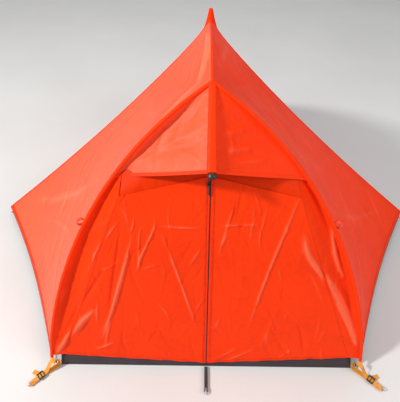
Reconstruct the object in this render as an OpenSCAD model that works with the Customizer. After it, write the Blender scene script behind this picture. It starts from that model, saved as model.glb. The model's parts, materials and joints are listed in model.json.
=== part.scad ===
// Hubbed-pole shelter tent, pitched: fly with two zipped doors and a hood, inner tent with a tub floor,
// a pole frame with two hubs, webbing corner straps with ladder-lock buckles, and hook pegs.
// +Z is up, +Y runs from the doors to the foot, and the ground is at z = 0.

/* [Floor] */
// Width of the floor at the door end
floor_w = 1250; // [1240:2:1260]
// Width of the floor at the foot end
foot_w = 830; // [820:2:836]
// Length of the floor
floor_l = 2100; // [2096:1:2104]
// Height of the tub's walls
tub_h = 120; // [100:5:125]

/* [Fly] */
// Thickness of a fabric panel
cloth = 1.2; // [0.8:0.1:1.6]
// How far each side peg corner is from the middle
side_out = 1140; // [1120:5:1160]
// Height of the hem at the side peg corners
hem_h = 55; // [50:1:60]
// Height of the raised peak above the ridge
peak_h = 62; // [40:1:80]

/* [Poles] */
// Outer diameter of the pole tube
pole_d = 8.5; // [8:0.1:8.8]
// Bore of the pole tube
pole_bore = 6.9; // [6:0.1:7.1]

/* [Zip and pegs] */
// Width of one side of the zip
zip_w = 8.4; // [7:0.1:8.6]
// Diameter of the peg wire
peg_d = 4.2; // [3.5:0.1:4.4]
// Width of the webbing straps
strap_w = 20; // [16:1:22]

/* [Hidden] */
$fn = 48;
lean = 0.41;            // slope of the front poles: y per z
door_lean = 0.34;       // slope of the doors
seam = 2;               // gap from a panel's edge to its seam line
web = 1.4;              // thickness of the webbing
hook_r = 8.5;           // bend of a peg's hook, at the wire's middle
peg_z = 2.6;            // height of a lying peg's middle
eye_s = 112;            // distance from a corner to its peg's hook
tab_s = 108;            // the same at the centre tab
side_s = 8;             // the same at the side corners
loop_r = 14;            // radius of a guy loop
loop_w = 12;            // width of its webbing
rear_turn = 63.25;      // direction of the rear straps, from +X towards +Y
front_turn = -45.5;     // direction of the front straps
front_pt = [655, -5, 0];
rear_pt = [440, 2122, 0];
tab_y = 2;
y_min = tab_y - tab_s - hook_r - peg_d / 2;
y_max = rear_pt.y + (eye_s + hook_r) * sin(rear_turn) + peg_d / 2;
y_mid = (y_min + y_max) / 2;
zip_tilt = atan(door_lean);
zip_foot = [0, door_lean * 34 - 2, 34];
zip_l = 857;

// ---- curves of the frame and the fly ----

function bez2(a, b, c, t) = a * (1 - t) * (1 - t) + b * 2 * t * (1 - t) + c * t * t;
function bez3(a, b, c, d, t) =
  a * pow(1 - t, 3) + b * 3 * t * pow(1 - t, 2) + c * 3 * t * t * (1 - t) + d * pow(t, 3);
function mix(a, b, t) = a * (1 - t) + b * t;
function unit(v) = v / norm(v);
function leaned(x, z) = [x, lean * z - 4, z];

// the fly's seam over the right front pole, from the corner up to the hub
function arch(t) = bez3(leaned(660, 48), leaned(602, 460), leaned(382, 880), leaned(0, 1103), t);
// the fly's ridge, from the hub over the peak to the rear hub
function spine(t) = bez3([0, 448, 1103], [0, 850, 1190], [0, 1250, 1090], [0, 1806, 432], t);
// the fly's seam over the right rear pole, from the rear hub down to the corner
function rear_seam(t) = bez2([0, 1806, 432], [240, 1950, 350], [446, 2142, 58], t);
peak_t = 0.46;
peak = spine(peak_t);
side_pt = [side_out, 900, hem_h];
// the tensioned ridge from the peak down to the right side peg corner
function side_ridge(t) = bez2(peak, [400, 950, 650], side_pt, t);

front_hub_pt = [0, 456, 1079];
rear_hub_pt = [0, 1795, 412];
beak_end = [0, 200, 937];
function front_leg(t) = bez3([648, 16, 22], [594, 206, 458], [378, 372, 868], front_hub_pt, t);
function ridge(t) = bez3(front_hub_pt, [0, 850, 1170], [0, 1250, 1072], rear_hub_pt, t);
function rear_leg(t) = bez2(rear_hub_pt, [230, 1935, 330], [436, 2124, 22], t);
function beak(t) = mix(front_hub_pt, beak_end + [0, 4, -14], t);

// ---- sheets: a closed thin solid over a grid of points ----

// a point at share u between a and b, kept `gap` clear of both
function across(a, b, u, gap) = let (l = norm(b - a)) mix(a, b, (gap + u * (l - 2 * gap)) / l);
function lim(i, n) = max(0, min(n - 1, i));
function grid_n(g, i, j) =
  let (r = len(g), c = len(g[0]))
  unit(cross(g[lim(i + 1, r)][j] - g[lim(i - 1, r)][j], g[i][lim(j + 1, c)] - g[i][lim(j - 1, c)]));

module sheet(g, t = cloth) {
  r = len(g);
  c = len(g[0]);
  top = [for (i = [0:r - 1]) for (j = [0:c - 1]) g[i][j] + grid_n(g, i, j) * t / 2];
  low = [for (i = [0:r - 1]) for (j = [0:c - 1]) g[i][j] - grid_n(g, i, j) * t / 2];
  n = r * c;
  faces = concat(
    [for (i = [0:r - 2]) for (j = [0:c - 2]) let (a = i * c + j) each
      [[a, a + 1, a + c + 1], [a, a + c + 1, a + c],
       [n + a, n + a + c, n + a + c + 1], [n + a, n + a + c + 1, n + a + 1]]],
    [for (j = [0:c - 2]) let (a = j, b = (r - 1) * c + j) each
      [[a + 1, a, n + a], [a + 1, n + a, n + a + 1],
       [b, b + 1, n + b + 1], [b, n + b + 1, n + b]]],
    [for (i = [0:r - 2]) let (a = i * c, b = i * c + c - 1) each
      [[a, a + c, n + a + c], [a, n + a + c, n + a],
       [b + c, b, n + b], [b + c, n + b, n + b + c]]]
  );
  polyhedron(concat(top, low), faces);
}

// a strip of webbing along points [s, z] in the upright plane through its direction
module band(path, w = strap_w, t = web) {
  sheet([for (p = path) [[p[0], w / 2, p[1]], [p[0], -w / 2, p[1]]]], t);
}

// ---- tubes swept along a curve ----

function side_of(d) = unit(cross(d, [0.31, 0.17, 0.93]));
function ring(p, d, r, k) =
  let (a = side_of(d), b = cross(d, a)) [for (i = [0:k - 1]) p + r * (a * cos(i * 360 / k) + b * sin(i * 360 / k))];
function dir_at(p, i) = unit(p[min(i + 1, len(p) - 1)] - p[max(i - 1, 0)]);

module rod(p, r, k = 8) {
  m = len(p);
  pts = [for (i = [0:m - 1]) each ring(p[i], dir_at(p, i), r, k)];
  faces = concat(
    [[for (j = [0:k - 1]) j]],
    [for (i = [0:m - 2]) for (j = [0:k - 1]) let (a = i * k + j, b = i * k + (j + 1) % k) each
      [[a, a + k, b], [b, a + k, b + k]]],
    [[for (j = [0:k - 1]) m * k - 1 - j]]
  );
  polyhedron(pts, faces);
}

module tube(p, r, bore, k = 8) {
  m = len(p);
  n = m * k;
  pts = concat([for (i = [0:m - 1]) each ring(p[i], dir_at(p, i), r, k)],
               [for (i = [0:m - 1]) each ring(p[i], dir_at(p, i), bore, k)]);
  faces = concat(
    [for (i = [0:m - 2]) for (j = [0:k - 1]) let (a = i * k + j, b = i * k + (j + 1) % k) each
      [[a, a + k, b], [b, a + k, b + k], [n + a, n + b, n + a + k], [n + b, n + b + k, n + a + k]]],
    [for (j = [0:k - 1]) let (b = (j + 1) % k) each [[j, b, n + j], [b, n + b, n + j]]],
    [for (j = [0:k - 1]) let (a = n - k + j, b = n - k + (j + 1) % k) each
      [[a, n + a, b], [b, n + a, n + b]]]
  );
  polyhedron(pts, faces);
}

// turns +Z to point along d
module along(d) {
  rotate([0, acos(d.z / norm(d)), atan2(d.y, d.x)]) children();
}

// puts children in place on the right, or mirrored to the left
module side(left = false) {
  translate([0, -y_mid, 0]) mirror([left ? 1 : 0, 0, 0]) children();
}

module station(at, turn) {
  translate(at) rotate([0, 0, turn]) children();
}

// ---- fly ----

function front_edge(v) = v < 0.7 ? arch(v / 0.7) : spine((v - 0.7) / 0.3 * (peak_t - 0.03));
function rear_edge(v) = v < 0.4 ? rear_seam(1 - v / 0.4) : spine(1 - (v - 0.4) / 0.6 * (1 - peak_t - 0.02));

module fly_front() {
  color("orangered") sheet([for (v = [0:1 / 16:1]) [for (u = [0:0.125:1])
    across(front_edge(v), side_ridge(1 - 0.965 * v), u, seam)
    + 25 * sin(180 * u) * pow(1 - v, 2) * [-0.88, 0.48, 0]
    + 16 * sin(180 * u) * sin(180 * v) * [-0.3, 0.5, -0.8]]]);
}

module fly_rear() {
  color("orangered") sheet([for (v = [0:1 / 15:1]) [for (u = [0:0.125:1])
    across(side_ridge(1 - 0.965 * v), rear_edge(v), u, seam)
    + 35 * sin(180 * u) * pow(1 - v, 2) * [-0.87, -0.5, 0]
    + 16 * sin(180 * u) * sin(180 * v) * [-0.5, -0.3, -0.8]]]);
}

module fly_foot() {
  color("orangered") side() sheet([for (t = [0.06:0.094:1]) let (p = rear_seam(t))
    [for (u = [0:0.125:1]) across([p.x, p.y, p.z], [-p.x, p.y, p.z], u, seam)
      + 14 * sin(180 * u) * sin(180 * t) * [0, -0.5, -0.5]]]);
}

module fly_peak() {
  color("orangered") side() translate(peak + [0, 0, 2]) rotate_extrude() polygon([
    [22, 0], [16.5, peak_h * 0.35], [12, peak_h * 0.7], [8.5, peak_h * 0.92], [4.5, peak_h], [0, peak_h],
    [0, peak_h - 2], [3.5, peak_h - 2.5], [7, peak_h * 0.88], [10.4, peak_h * 0.68], [14.8, peak_h * 0.33], [20, 0]]);
}

hood_t = 0.65;

module hood() {
  color("orangered") sheet([for (v = [0:0.125:1]) [for (u = [0:0.125:1])
    across(mix(beak_end, spine(0), 0.965 * v), arch(hood_t + (0.99 - hood_t) * v), u, seam)
    + 12 * sin(180 * u) * sin(180 * min(1, v + 0.2)) * [0, 0.3, -0.7]]]);
}

module hood_tip_cap() {
  d = unit(beak_end - spine(0));
  color([0.06, 0.06, 0.06]) side() difference() {
    translate(beak_end + [0, 1, -4]) along(d) {
      translate([0, 0, 2]) cylinder(h = 11, r = 15);
      translate([0, 0, 13]) cylinder(h = 3, r1 = 15, r2 = 12);
    }
    translate(beak(1) - 20 * unit(beak(1) - beak(0))) along(beak(1) - beak(0)) cylinder(h = 21, d = pole_d + 0.8);
  }
}

// a point of the door plane, and the heights of the doors' edges at the zip
function on_door(x, z) = [x, door_lean * z - 2, z];
door_low = 30;
door_top = 848;
function door_high(x) = door_top - 0.235 * x;
hinge_low = on_door(604, 68);
hinge_high = on_door(314, 775);
function hinge_line(t) = mix(hinge_low, hinge_high, t);

module door() {
  rows = 10;
  color("orangered") sheet([for (i = [0:rows]) let (v = i / rows, h = hinge_line(v) - [3, 0, 0])
    [for (u = [0:0.125:1]) let (x = mix(zip_w + 1.8, h.x, u))
      on_door(x, mix(mix(door_low, hinge_low.z, u), mix(door_top, hinge_high.z, u), v))
      + 5 * sin(180 * u) * sin(180 * v) * [0, -0.95, 0.32]]]);
}

module door_gusset() {
  color("orangered") sheet([for (v = [0:0.0833:1]) [for (u = [0:0.2:1])
    across(hinge_line(v) + [3, 0, 0], arch(0.01 + 0.63 * v), u, seam)]]);
}

module door_header() {
  color("orangered") for (l = [false, true]) side(l) sheet([for (v = [0:0.2:1]) [for (u = [0:0.125:1])
    let (a = arch(1 - 0.3 * u) + [seam * (1 - u), 0, 0])
    mix(on_door(a.x, door_high(a.x) + 7), a - [0, 6, 60 - 25 * u], v)]]);
}

module zip_tape() {
  color([0.25, 0.2, 0.2]) translate(zip_foot) rotate([-zip_tilt, 0, 0])
    translate([0.8, -1, 0]) cube([zip_w, 2, zip_l]);
}

slider_z = zip_l - 34;

module zip_slider() {
  color([0.05, 0.05, 0.05]) side() translate(zip_foot) rotate([-zip_tilt, 0, 0]) translate([-9.4, 0, slider_z]) {
    translate([0, -4.4, 0]) cube([9, 3, 20]);
    for (x = [0, 7.4]) translate([x, -8.4, 5]) cube([1.6, 4.4, 6]);
    translate([0, -7, 8]) rotate([0, 90, 0]) cylinder(h = 9, r = 1.2);
  }
}

module zip_pull() {
  color([0.08, 0.08, 0.08]) side() translate(zip_foot) rotate([-zip_tilt, 0, 0])
    translate([-9.4, 0, slider_z]) difference() {
      union() {
        translate([2, -7, 8]) rotate([0, 90, 0]) cylinder(h = 5, r = 2.4);
        translate([2, -9, -30]) cube([5, 2.2, 37]);
      }
      translate([1, -7, 8]) rotate([0, 90, 0]) cylinder(h = 7, r = 1.27);
    }
}

// ---- small fabric fittings ----

module loop_ring(p, out) {
  translate(p + (loop_r + 4) * out) along(cross(out, [0, 0, 1]))
    rotate_extrude() translate([loop_r - 0.4, -loop_w / 2]) square([web, loop_w]);
}

module guy_loops() {
  color("orangered") for (l = [false, true]) side(l) {
    loop_ring(arch(0.5), unit([0.8, -0.45, 0.35]));
    loop_ring(rear_seam(0.5), unit([0.35, 0.35, 0.85]));
  }
}

module door_toggles() {
  color([0.1, 0.1, 0.1]) for (l = [false, true]) side(l)
    translate(hinge_line(0.5) + [16, 22, 0]) along([0, 0.32, 0.95]) {
      cylinder(h = 28, r = 3);
      translate([0, 0, 12]) rotate([90, 0, 0]) cylinder(h = 12, r = 1);
    }
}

// ---- inner tent ----

module tub_block(in, z0, z1, lip) {
  f = floor_w / 2 - in;
  b = foot_w / 2 - in;
  hull() {
    translate([0, 0, z0]) linear_extrude(0.02)
      polygon([[-f, 5 + in], [f, 5 + in], [b, floor_l + 5 - in], [-b, floor_l + 5 - in]]);
    translate([0, 0, z1]) linear_extrude(0.02)
      polygon([[-f + lip, 68 + in], [f - lip, 68 + in], [b - lip, floor_l - 55 - in], [-b + lip, floor_l - 55 - in]]);
  }
}

module floor_tub() {
  color([0.24, 0.16, 0.18]) side() difference() {
    tub_block(0, 0, tub_h, 12);
    tub_block(1.5, 1.5, tub_h + 0.1, 12);
  }
}

rim = tub_h + 3;
function inner_ridge(v) = bez3([4, 450, 1035], [4, 850, 1110], [4, 1240, 985], [4, 1735, 325], v);
function inner_foot_pt(v) = mix([612, 72, rim], [398, 2036, rim], v);
function inner_pt(u, v) = bez3(
  inner_foot_pt(v), mix([556, 205, 470], [300, 1960, 160], v),
  mix([348, 372, 850], [110, 1815, 210], v), inner_ridge(v), u);

module inner_wall() {
  color([0.9, 0.88, 0.84]) sheet([for (v = [0:1 / 14:1]) [for (u = [0:0.1:1]) inner_pt(u, v)]], 1);
}

module inner_foot() {
  color([0.9, 0.88, 0.84]) side() sheet([for (u = [0:0.1:0.9]) let (p = inner_pt(u, 1) + [-4, 3, -1])
    [for (w = [0:0.125:1]) mix(p, [-p.x, p.y, p.z], w)]], 1);
}

// front wall of the inner tent: a plane, and the door opening in it
inner_slope = (450 - 72) / (1035 - rim);
function on_inner(x, z) = [x, 70 + inner_slope * (z - rim), z];
door_z0 = rim + 20;
door_z1 = 760;
function open_x(z) = 360 - 0.22 * (z - door_z0) - 0.0002 * pow(z - door_z0, 2);
function wall_x(z) = let (u = (z - rim) / (1035 - rim)) inner_pt(pow(u, 1.02), 0).x - 8;

module inner_front() {
  color([0.9, 0.88, 0.84]) {
    for (l = [false, true]) side(l) sheet([for (v = [0:0.1:1]) let (z = mix(door_z0, door_z1, v))
      [for (u = [0:0.25:1]) on_inner(mix(open_x(z) + 6, wall_x(z), u), z)]], 1);
    side() sheet([for (v = [0:0.25:1]) let (z = mix(door_z1 + 6, 985, v), w = wall_x(z))
      [for (u = [0:0.125:1]) on_inner(mix(-w, w, u), z)]], 1);
    side() sheet([for (z = [rim + 1, door_z0 - 6]) [for (u = [0:0.125:1]) on_inner(mix(-596, 596, u), z)]], 1);
  }
}

module inner_door() {
  color([0.82, 0.8, 0.78]) side() sheet([for (v = [0:0.1:1]) let (z = mix(door_z0, door_z1, v), w = open_x(z))
    [for (u = [0:0.125:1]) on_inner(mix(-w, w, u), z)]], 1);
}

// ---- poles ----

function run(n) = [for (i = [0:n]) i / n];
leg_in = 0.012;   // how far the poles' ends stay from the hub's middle, as a share of their length

module front_leg_pole() {
  color("silver") tube([for (i = run(22)) front_leg(i * (1 - leg_in))], pole_d / 2, pole_bore / 2);
}

module ridge_pole() {
  color("silver") side() tube([for (i = run(24)) ridge(0.012 + i * (1 - 0.024))], pole_d / 2, pole_bore / 2);
}

module beak_pole() {
  color("silver") side() tube([for (i = [0.045, 0.35, 0.7, 1]) beak(i)], pole_d / 2, pole_bore / 2);
}

module rear_leg_pole() {
  color("silver") tube([for (i = run(10)) rear_leg(0.03 + i * 0.97)], pole_d / 2, pole_bore / 2);
}

module shock_cords() {
  color([0.9, 0.9, 0.9]) {
    for (l = [false, true]) side(l) {
      rod([for (i = run(22)) front_leg(0.006 + i * (0.988 - leg_in))], 1.2, 6);
      rod([for (i = run(10)) rear_leg(0.04 + i * 0.95)], 1.2, 6);
    }
    side() rod([for (i = run(24)) ridge(0.018 + i * (1 - 0.036))], 1.2, 6);
    side() rod([for (i = [0.06, 0.35, 0.7, 0.98]) beak(i)], 1.2, 6);
  }
}

// a block with a socket along each pole
module hub(at, dirs, r) {
  difference() {
    translate(at) along(dirs[0]) translate([0, 0, -9]) cylinder(h = 18, r = r);
    for (d = dirs[1]) translate(at + 6 * unit(d)) along(d) cylinder(h = 60, d = pole_d + 1);
  }
}

module front_hub() {
  l = front_leg(0.97) - front_hub_pt;
  color([0.1, 0.1, 0.1]) side()
    hub(front_hub_pt, [[0, 0.12, 1], [l, [-l.x, l.y, l.z], ridge(0.03) - front_hub_pt, beak(1) - beak(0)]], 17);
}

module rear_hub() {
  l = rear_leg(0.05) - rear_hub_pt;
  color([0.1, 0.1, 0.1]) side()
    hub(rear_hub_pt, [[0, 0.6, 0.8], [l, [-l.x, l.y, l.z], ridge(0.97) - rear_hub_pt]], 18);
}

// a short sleeve where two pole sections meet
module ferrule(a, b) {
  translate(a) along(b - a) difference() {
    cylinder(h = 14, d = pole_d + 3.2);
    translate([0, 0, -1]) cylinder(h = 16, d = pole_d + 1.3);
  }
}

module pole_ferrules() {
  color("gainsboro") {
    for (l = [false, true], k = [6, 12, 18]) side(l)
      ferrule(front_leg(k / 22 * (1 - leg_in)), front_leg((k + 1) / 22 * (1 - leg_in)));
    for (k = [5, 11, 17]) side() ferrule(ridge(0.012 + k / 24 * 0.976), ridge(0.012 + (k + 1) / 24 * 0.976));
  }
}

module pole_tips() {
  color([0.12, 0.12, 0.12]) for (l = [false, true]) side(l) {
    translate(front_leg(0) - 0.5 * unit(front_leg(0.04) - front_leg(0))) along(front_leg(0) - front_leg(0.04))
      cylinder(h = 15, d = 6.4);
    translate(rear_leg(1) - 0.5 * unit(rear_leg(0.96) - rear_leg(1))) along(rear_leg(1) - rear_leg(0.96))
      cylinder(h = 13, d = 6.4);
  }
}

// a clip round a pole, with a hanger down to the inner tent
module clip(a, b, down) {
  difference() {
    translate(a) {
      along(b - a) cylinder(h = 8, d = pole_d + 5);
      along(down) cylinder(h = 15, r = 1.6);
    }
    translate(a) along(b - a) translate([0, 0, -20]) cylinder(h = 60, d = pole_d + 1.6);
  }
}

module pole_clips() {
  color([0.1, 0.1, 0.1]) {
    for (l = [false, true], k = [4, 9, 14, 20]) side(l)
      clip(front_leg(k / 22 * (1 - leg_in)), front_leg((k + 1) / 22 * (1 - leg_in)), [-0.7, 0.1, -0.5]);
    for (k = [3, 8, 14, 20]) side() clip(ridge(0.012 + k / 24 * 0.976), ridge(0.012 + (k + 1) / 24 * 0.976), [0, 0, -1]);
  }
}

// ---- corners ----

module grommet_tabs() {
  color("orange") for (l = [false, true]) side(l) {
    for (p = [[650, 11, front_turn], [437, 2131, rear_turn]]) station([p[0], p[1], 0], p[2]) {
      difference() {
        translate([-11, -11, 0.2]) cube([22, 22, 2]);
        translate([0, 0, -1]) cylinder(h = 5, r = 4);
      }
    }
  }
}

eye_path = [[86, 11.4], [98, 11.3], [108, 11.1], [112, 10], [113.4, 8.7], [112, 7.2], [108, 6.3], [90, 6.2],
            [60, 6.2], [34, 6.2]];

module corner_strap() {
  color("orange") {
    band(concat([[8, 50], [18, 34], [30, 18], [42, 11.6], [56, 11.4], [72, 11.4]], eye_path));
    translate([60, 0, 0]) rotate([0, 0, 70]) band([[14, 7.9], [22, 4], [32, 2], [46, 1.2]], strap_w - 2, web);
  }
}

// a frame of two rails and three bars that the strap runs under
module ladder_lock() {
  color([0.07, 0.07, 0.07]) translate([46, 0, 9]) {
    for (y = [-1, 1]) translate([0, y * (strap_w / 2 + 2.4) - 1.6, 0]) cube([28, 3.2, 7]);
    for (x = [0.6, 12.4, 24.2]) translate([x, -strap_w / 2 - 2, 4]) cube([3.2, strap_w + 4, 3]);
  }
}

module hook_peg(s, l) {
  color("silver") {
    translate([s - l, 0, peg_z]) rotate([0, 90, 0]) cylinder(h = l, d = peg_d);
    translate([s - l, 0, peg_z]) rotate([0, -90, 0]) cylinder(h = 6, d1 = peg_d, d2 = 1.4);
    translate([s, 0, peg_z + hook_r]) rotate([90, 0, 0]) rotate([0, 0, -90]) rotate_extrude(angle = 180)
      translate([hook_r, 0]) circle(d = peg_d);
    translate([s, 0, peg_z + 2 * hook_r]) rotate([0, -90, 0]) cylinder(h = 13, d = peg_d);
  }
}

module side_loop() {
  color("orangered") band([[-5, 49], [-14, 36], [-18, 24], [-15, 14], [-9, 11.6], [2, 11.3], [6, 11], [8.6, 9.9],
    [9.4, 8.7], [8.4, 7.3], [5, 6.4], [-8, 6.2], [-26, 6.2]], 14);
}

module centre_tab() {
  color([0.08, 0.08, 0.08]) side() station([0, tab_y, 0], -90)
    band([[4, 11], [40, 11.4], [80, 11.3], [102, 11.1], [107, 10], [108.6, 8.7], [107, 7.2], [102, 6.3], [80, 6.2],
      [40, 6.2], [20, 6.2]], 14);
}

// ---- one call per node ----

side(true) fly_front();  // fly_front_left
side() fly_front();  // fly_front_right
side(true) fly_rear();  // fly_rear_left
side() fly_rear();  // fly_rear_right
fly_foot();
fly_peak();
side(true) hood();  // hood_left
side() hood();  // hood_right
hood_tip_cap();
door_header();
side(true) door_gusset();  // door_gusset_left
side() door_gusset();  // door_gusset_right
side(true) door();  // door_left
side() door();  // door_right
side(true) zip_tape();  // zip_tape_left
side() zip_tape();  // zip_tape_right
zip_slider();
zip_pull();
guy_loops();
door_toggles();
floor_tub();
side(true) inner_wall();  // inner_wall_left
side() inner_wall();  // inner_wall_right
inner_foot();
inner_front();
inner_door();
pole_clips();
side(true) front_leg_pole();  // front_leg_left
side() front_leg_pole();  // front_leg_right
ridge_pole();
beak_pole();
side(true) rear_leg_pole();  // rear_leg_left
side() rear_leg_pole();  // rear_leg_right
front_hub();
rear_hub();
pole_ferrules();
pole_tips();
shock_cords();
grommet_tabs();
side(true) station(front_pt, front_turn) corner_strap();  // strap_front_left
side() station(front_pt, front_turn) corner_strap();  // strap_front_right
side(true) station(rear_pt, rear_turn) corner_strap();  // strap_rear_left
side() station(rear_pt, rear_turn) corner_strap();  // strap_rear_right
side(true) station(front_pt, front_turn) ladder_lock();  // buckle_front_left
side() station(front_pt, front_turn) ladder_lock();  // buckle_front_right
side(true) station(rear_pt, rear_turn) ladder_lock();  // buckle_rear_left
side() station(rear_pt, rear_turn) ladder_lock();  // buckle_rear_right
side(true) station([side_out, 900, 0], 0) side_loop();  // side_loop_left
side() station([side_out, 900, 0], 0) side_loop();  // side_loop_right
centre_tab();
side(true) station(front_pt, front_turn) hook_peg(eye_s, 86);  // peg_front_left
side() station(front_pt, front_turn) hook_peg(eye_s, 86);  // peg_front_right
side(true) station(rear_pt, rear_turn) hook_peg(eye_s, 86);  // peg_rear_left
side() station(rear_pt, rear_turn) hook_peg(eye_s, 86);  // peg_rear_right
side(true) station([side_out, 900, 0], 0) hook_peg(side_s, 86);  // peg_side_left
side() station([side_out, 900, 0], 0) hook_peg(side_s, 86);  // peg_side_right
side() station([0, tab_y, 0], -90) hook_peg(tab_s, 86);  // peg_centre
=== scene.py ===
"""Looks of a pitched hubbed-pole tent: cloth, seams, zip, poles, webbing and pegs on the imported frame."""

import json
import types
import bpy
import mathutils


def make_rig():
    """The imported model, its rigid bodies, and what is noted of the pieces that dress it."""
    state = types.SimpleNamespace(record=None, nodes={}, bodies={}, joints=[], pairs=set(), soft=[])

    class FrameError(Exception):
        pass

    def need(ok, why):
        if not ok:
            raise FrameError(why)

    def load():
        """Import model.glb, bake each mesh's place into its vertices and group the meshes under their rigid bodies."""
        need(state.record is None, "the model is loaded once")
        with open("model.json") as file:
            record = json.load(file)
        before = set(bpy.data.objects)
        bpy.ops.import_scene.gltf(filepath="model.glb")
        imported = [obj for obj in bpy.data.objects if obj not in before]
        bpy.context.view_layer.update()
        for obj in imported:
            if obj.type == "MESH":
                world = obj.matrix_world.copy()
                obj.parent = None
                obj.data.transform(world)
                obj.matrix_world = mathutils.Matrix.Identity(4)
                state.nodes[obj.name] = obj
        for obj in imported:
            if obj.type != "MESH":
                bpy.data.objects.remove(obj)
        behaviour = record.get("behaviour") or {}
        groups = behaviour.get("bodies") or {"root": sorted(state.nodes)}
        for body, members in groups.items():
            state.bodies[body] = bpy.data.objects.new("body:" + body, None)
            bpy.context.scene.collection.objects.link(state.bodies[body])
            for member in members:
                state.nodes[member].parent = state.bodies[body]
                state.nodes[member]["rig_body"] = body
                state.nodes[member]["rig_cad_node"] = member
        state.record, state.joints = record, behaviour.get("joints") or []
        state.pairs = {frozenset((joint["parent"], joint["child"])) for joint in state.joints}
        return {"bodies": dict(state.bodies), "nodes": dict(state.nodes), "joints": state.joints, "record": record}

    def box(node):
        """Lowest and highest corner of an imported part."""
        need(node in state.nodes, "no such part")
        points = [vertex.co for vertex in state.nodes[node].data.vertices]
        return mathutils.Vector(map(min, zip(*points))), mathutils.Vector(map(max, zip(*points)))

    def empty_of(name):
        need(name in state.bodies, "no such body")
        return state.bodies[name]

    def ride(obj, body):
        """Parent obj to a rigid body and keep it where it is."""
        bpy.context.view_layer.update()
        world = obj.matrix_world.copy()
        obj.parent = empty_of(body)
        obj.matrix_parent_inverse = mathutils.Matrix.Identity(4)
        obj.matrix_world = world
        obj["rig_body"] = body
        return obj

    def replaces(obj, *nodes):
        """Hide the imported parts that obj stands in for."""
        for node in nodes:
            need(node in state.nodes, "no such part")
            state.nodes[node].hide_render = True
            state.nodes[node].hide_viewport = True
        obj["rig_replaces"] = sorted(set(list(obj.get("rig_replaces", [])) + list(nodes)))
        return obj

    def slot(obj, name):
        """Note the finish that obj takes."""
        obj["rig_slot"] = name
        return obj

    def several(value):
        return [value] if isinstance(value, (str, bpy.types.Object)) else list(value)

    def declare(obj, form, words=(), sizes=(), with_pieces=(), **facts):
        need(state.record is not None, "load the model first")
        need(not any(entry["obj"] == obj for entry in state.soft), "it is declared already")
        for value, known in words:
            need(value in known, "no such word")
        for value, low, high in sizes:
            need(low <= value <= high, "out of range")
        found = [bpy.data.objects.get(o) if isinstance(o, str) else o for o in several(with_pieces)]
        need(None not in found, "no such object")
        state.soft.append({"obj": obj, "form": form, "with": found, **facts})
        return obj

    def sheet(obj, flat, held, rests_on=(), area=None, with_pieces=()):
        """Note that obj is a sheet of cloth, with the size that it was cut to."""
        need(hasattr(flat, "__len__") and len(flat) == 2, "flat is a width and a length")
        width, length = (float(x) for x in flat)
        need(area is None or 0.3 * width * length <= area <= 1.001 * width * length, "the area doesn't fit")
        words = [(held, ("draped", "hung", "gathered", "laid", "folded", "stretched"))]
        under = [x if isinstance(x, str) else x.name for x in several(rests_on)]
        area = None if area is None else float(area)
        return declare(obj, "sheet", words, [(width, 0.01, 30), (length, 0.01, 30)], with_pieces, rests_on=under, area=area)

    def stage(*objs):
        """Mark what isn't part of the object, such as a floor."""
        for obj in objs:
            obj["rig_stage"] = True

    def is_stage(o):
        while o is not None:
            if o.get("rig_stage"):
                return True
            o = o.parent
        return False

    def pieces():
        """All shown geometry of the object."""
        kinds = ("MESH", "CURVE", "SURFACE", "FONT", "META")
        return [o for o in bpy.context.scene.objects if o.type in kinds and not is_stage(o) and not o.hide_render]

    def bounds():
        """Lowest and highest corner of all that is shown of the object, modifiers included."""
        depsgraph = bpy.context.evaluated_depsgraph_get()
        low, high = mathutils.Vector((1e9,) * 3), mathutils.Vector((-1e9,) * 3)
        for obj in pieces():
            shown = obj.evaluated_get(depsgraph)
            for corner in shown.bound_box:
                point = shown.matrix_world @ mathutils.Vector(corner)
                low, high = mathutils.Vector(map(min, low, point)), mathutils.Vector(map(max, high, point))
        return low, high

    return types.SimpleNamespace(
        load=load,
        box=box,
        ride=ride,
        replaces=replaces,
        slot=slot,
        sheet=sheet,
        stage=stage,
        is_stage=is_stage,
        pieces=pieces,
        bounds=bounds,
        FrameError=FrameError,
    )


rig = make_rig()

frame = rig.load()

import json
import math

import bpy
import bmesh
import numpy as np
from bpy.props import FloatProperty, FloatVectorProperty, PointerProperty
from mathutils import Matrix, Vector

bl_info = {
    "name": "Hubbed-pole tent",
    "version": (1, 0, 0),
    "blender": (4, 5, 0),
    "location": "3D View > Sidebar > Tent",
    "description": "Builds the cloth, seams, zip, poles, webbing and pegs of a pitched tent",
    "category": "Add Mesh",
}

CAD_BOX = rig.bounds()
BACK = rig.box("floor_tub")[0].y - 0.005  # from the doors' line, where the lines below start, to the frame
ROOT = "tent"  # the body that everything fixed rides on
HANDS = (("left", True), ("right", False))
FINISHES = {}


def point(*xyz):
    return np.array(xyz, float)


# ---- sizes, in metres from the doors' line, right side ----

ARCH_LEAN, DOOR_LEAN = 0.41, 0.34  # how far the arch and the doors lean back for each metre of height
FORWARD = point(0, -0.947, 0.322)  # outwards from the doors' slope
PEAK_T = 0.46  # where the raised peak stands along the spine
ARCH_SHARE, REAR_SHARE = 0.7, 0.4  # the parts of a side panel's edges that follow the arch and the rear seam
VALLEY, VALLEY_WIDTH = 0.022, 0.036  # how deep the cloth dips beside the arch pole, and how far away
STAND = 0.016  # how far the arch pole pushes the cloth forward
BEAK_END = point(0, 0.200, 0.937)
FRONT_HUB = point(0, 0.456, 1.079)
REAR_HUB = point(0, 1.795, 0.412)
RIM, INNER_RISE = 0.123, 0.912  # height of the tub's rim, and of the inner tent above it
TUB_FRONT, TUB_BACK, TUB_HEIGHT = 0.625, 0.415, 0.12  # half-widths at the ground, and height
DOOR_EDGE = 0.0022  # from the zip's middle to a door's cloth
SLIDER_ROOM = 0.0078  # kept free of folds beside the zip, for the slider
ZIP_LIP = (0.0106, 0.0128, 0.0150)  # the lip's edges and stitch line, from the zip's middle
HINGE_FADE = 0.014  # how far in the folds fade where a door meets its gusset
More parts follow.
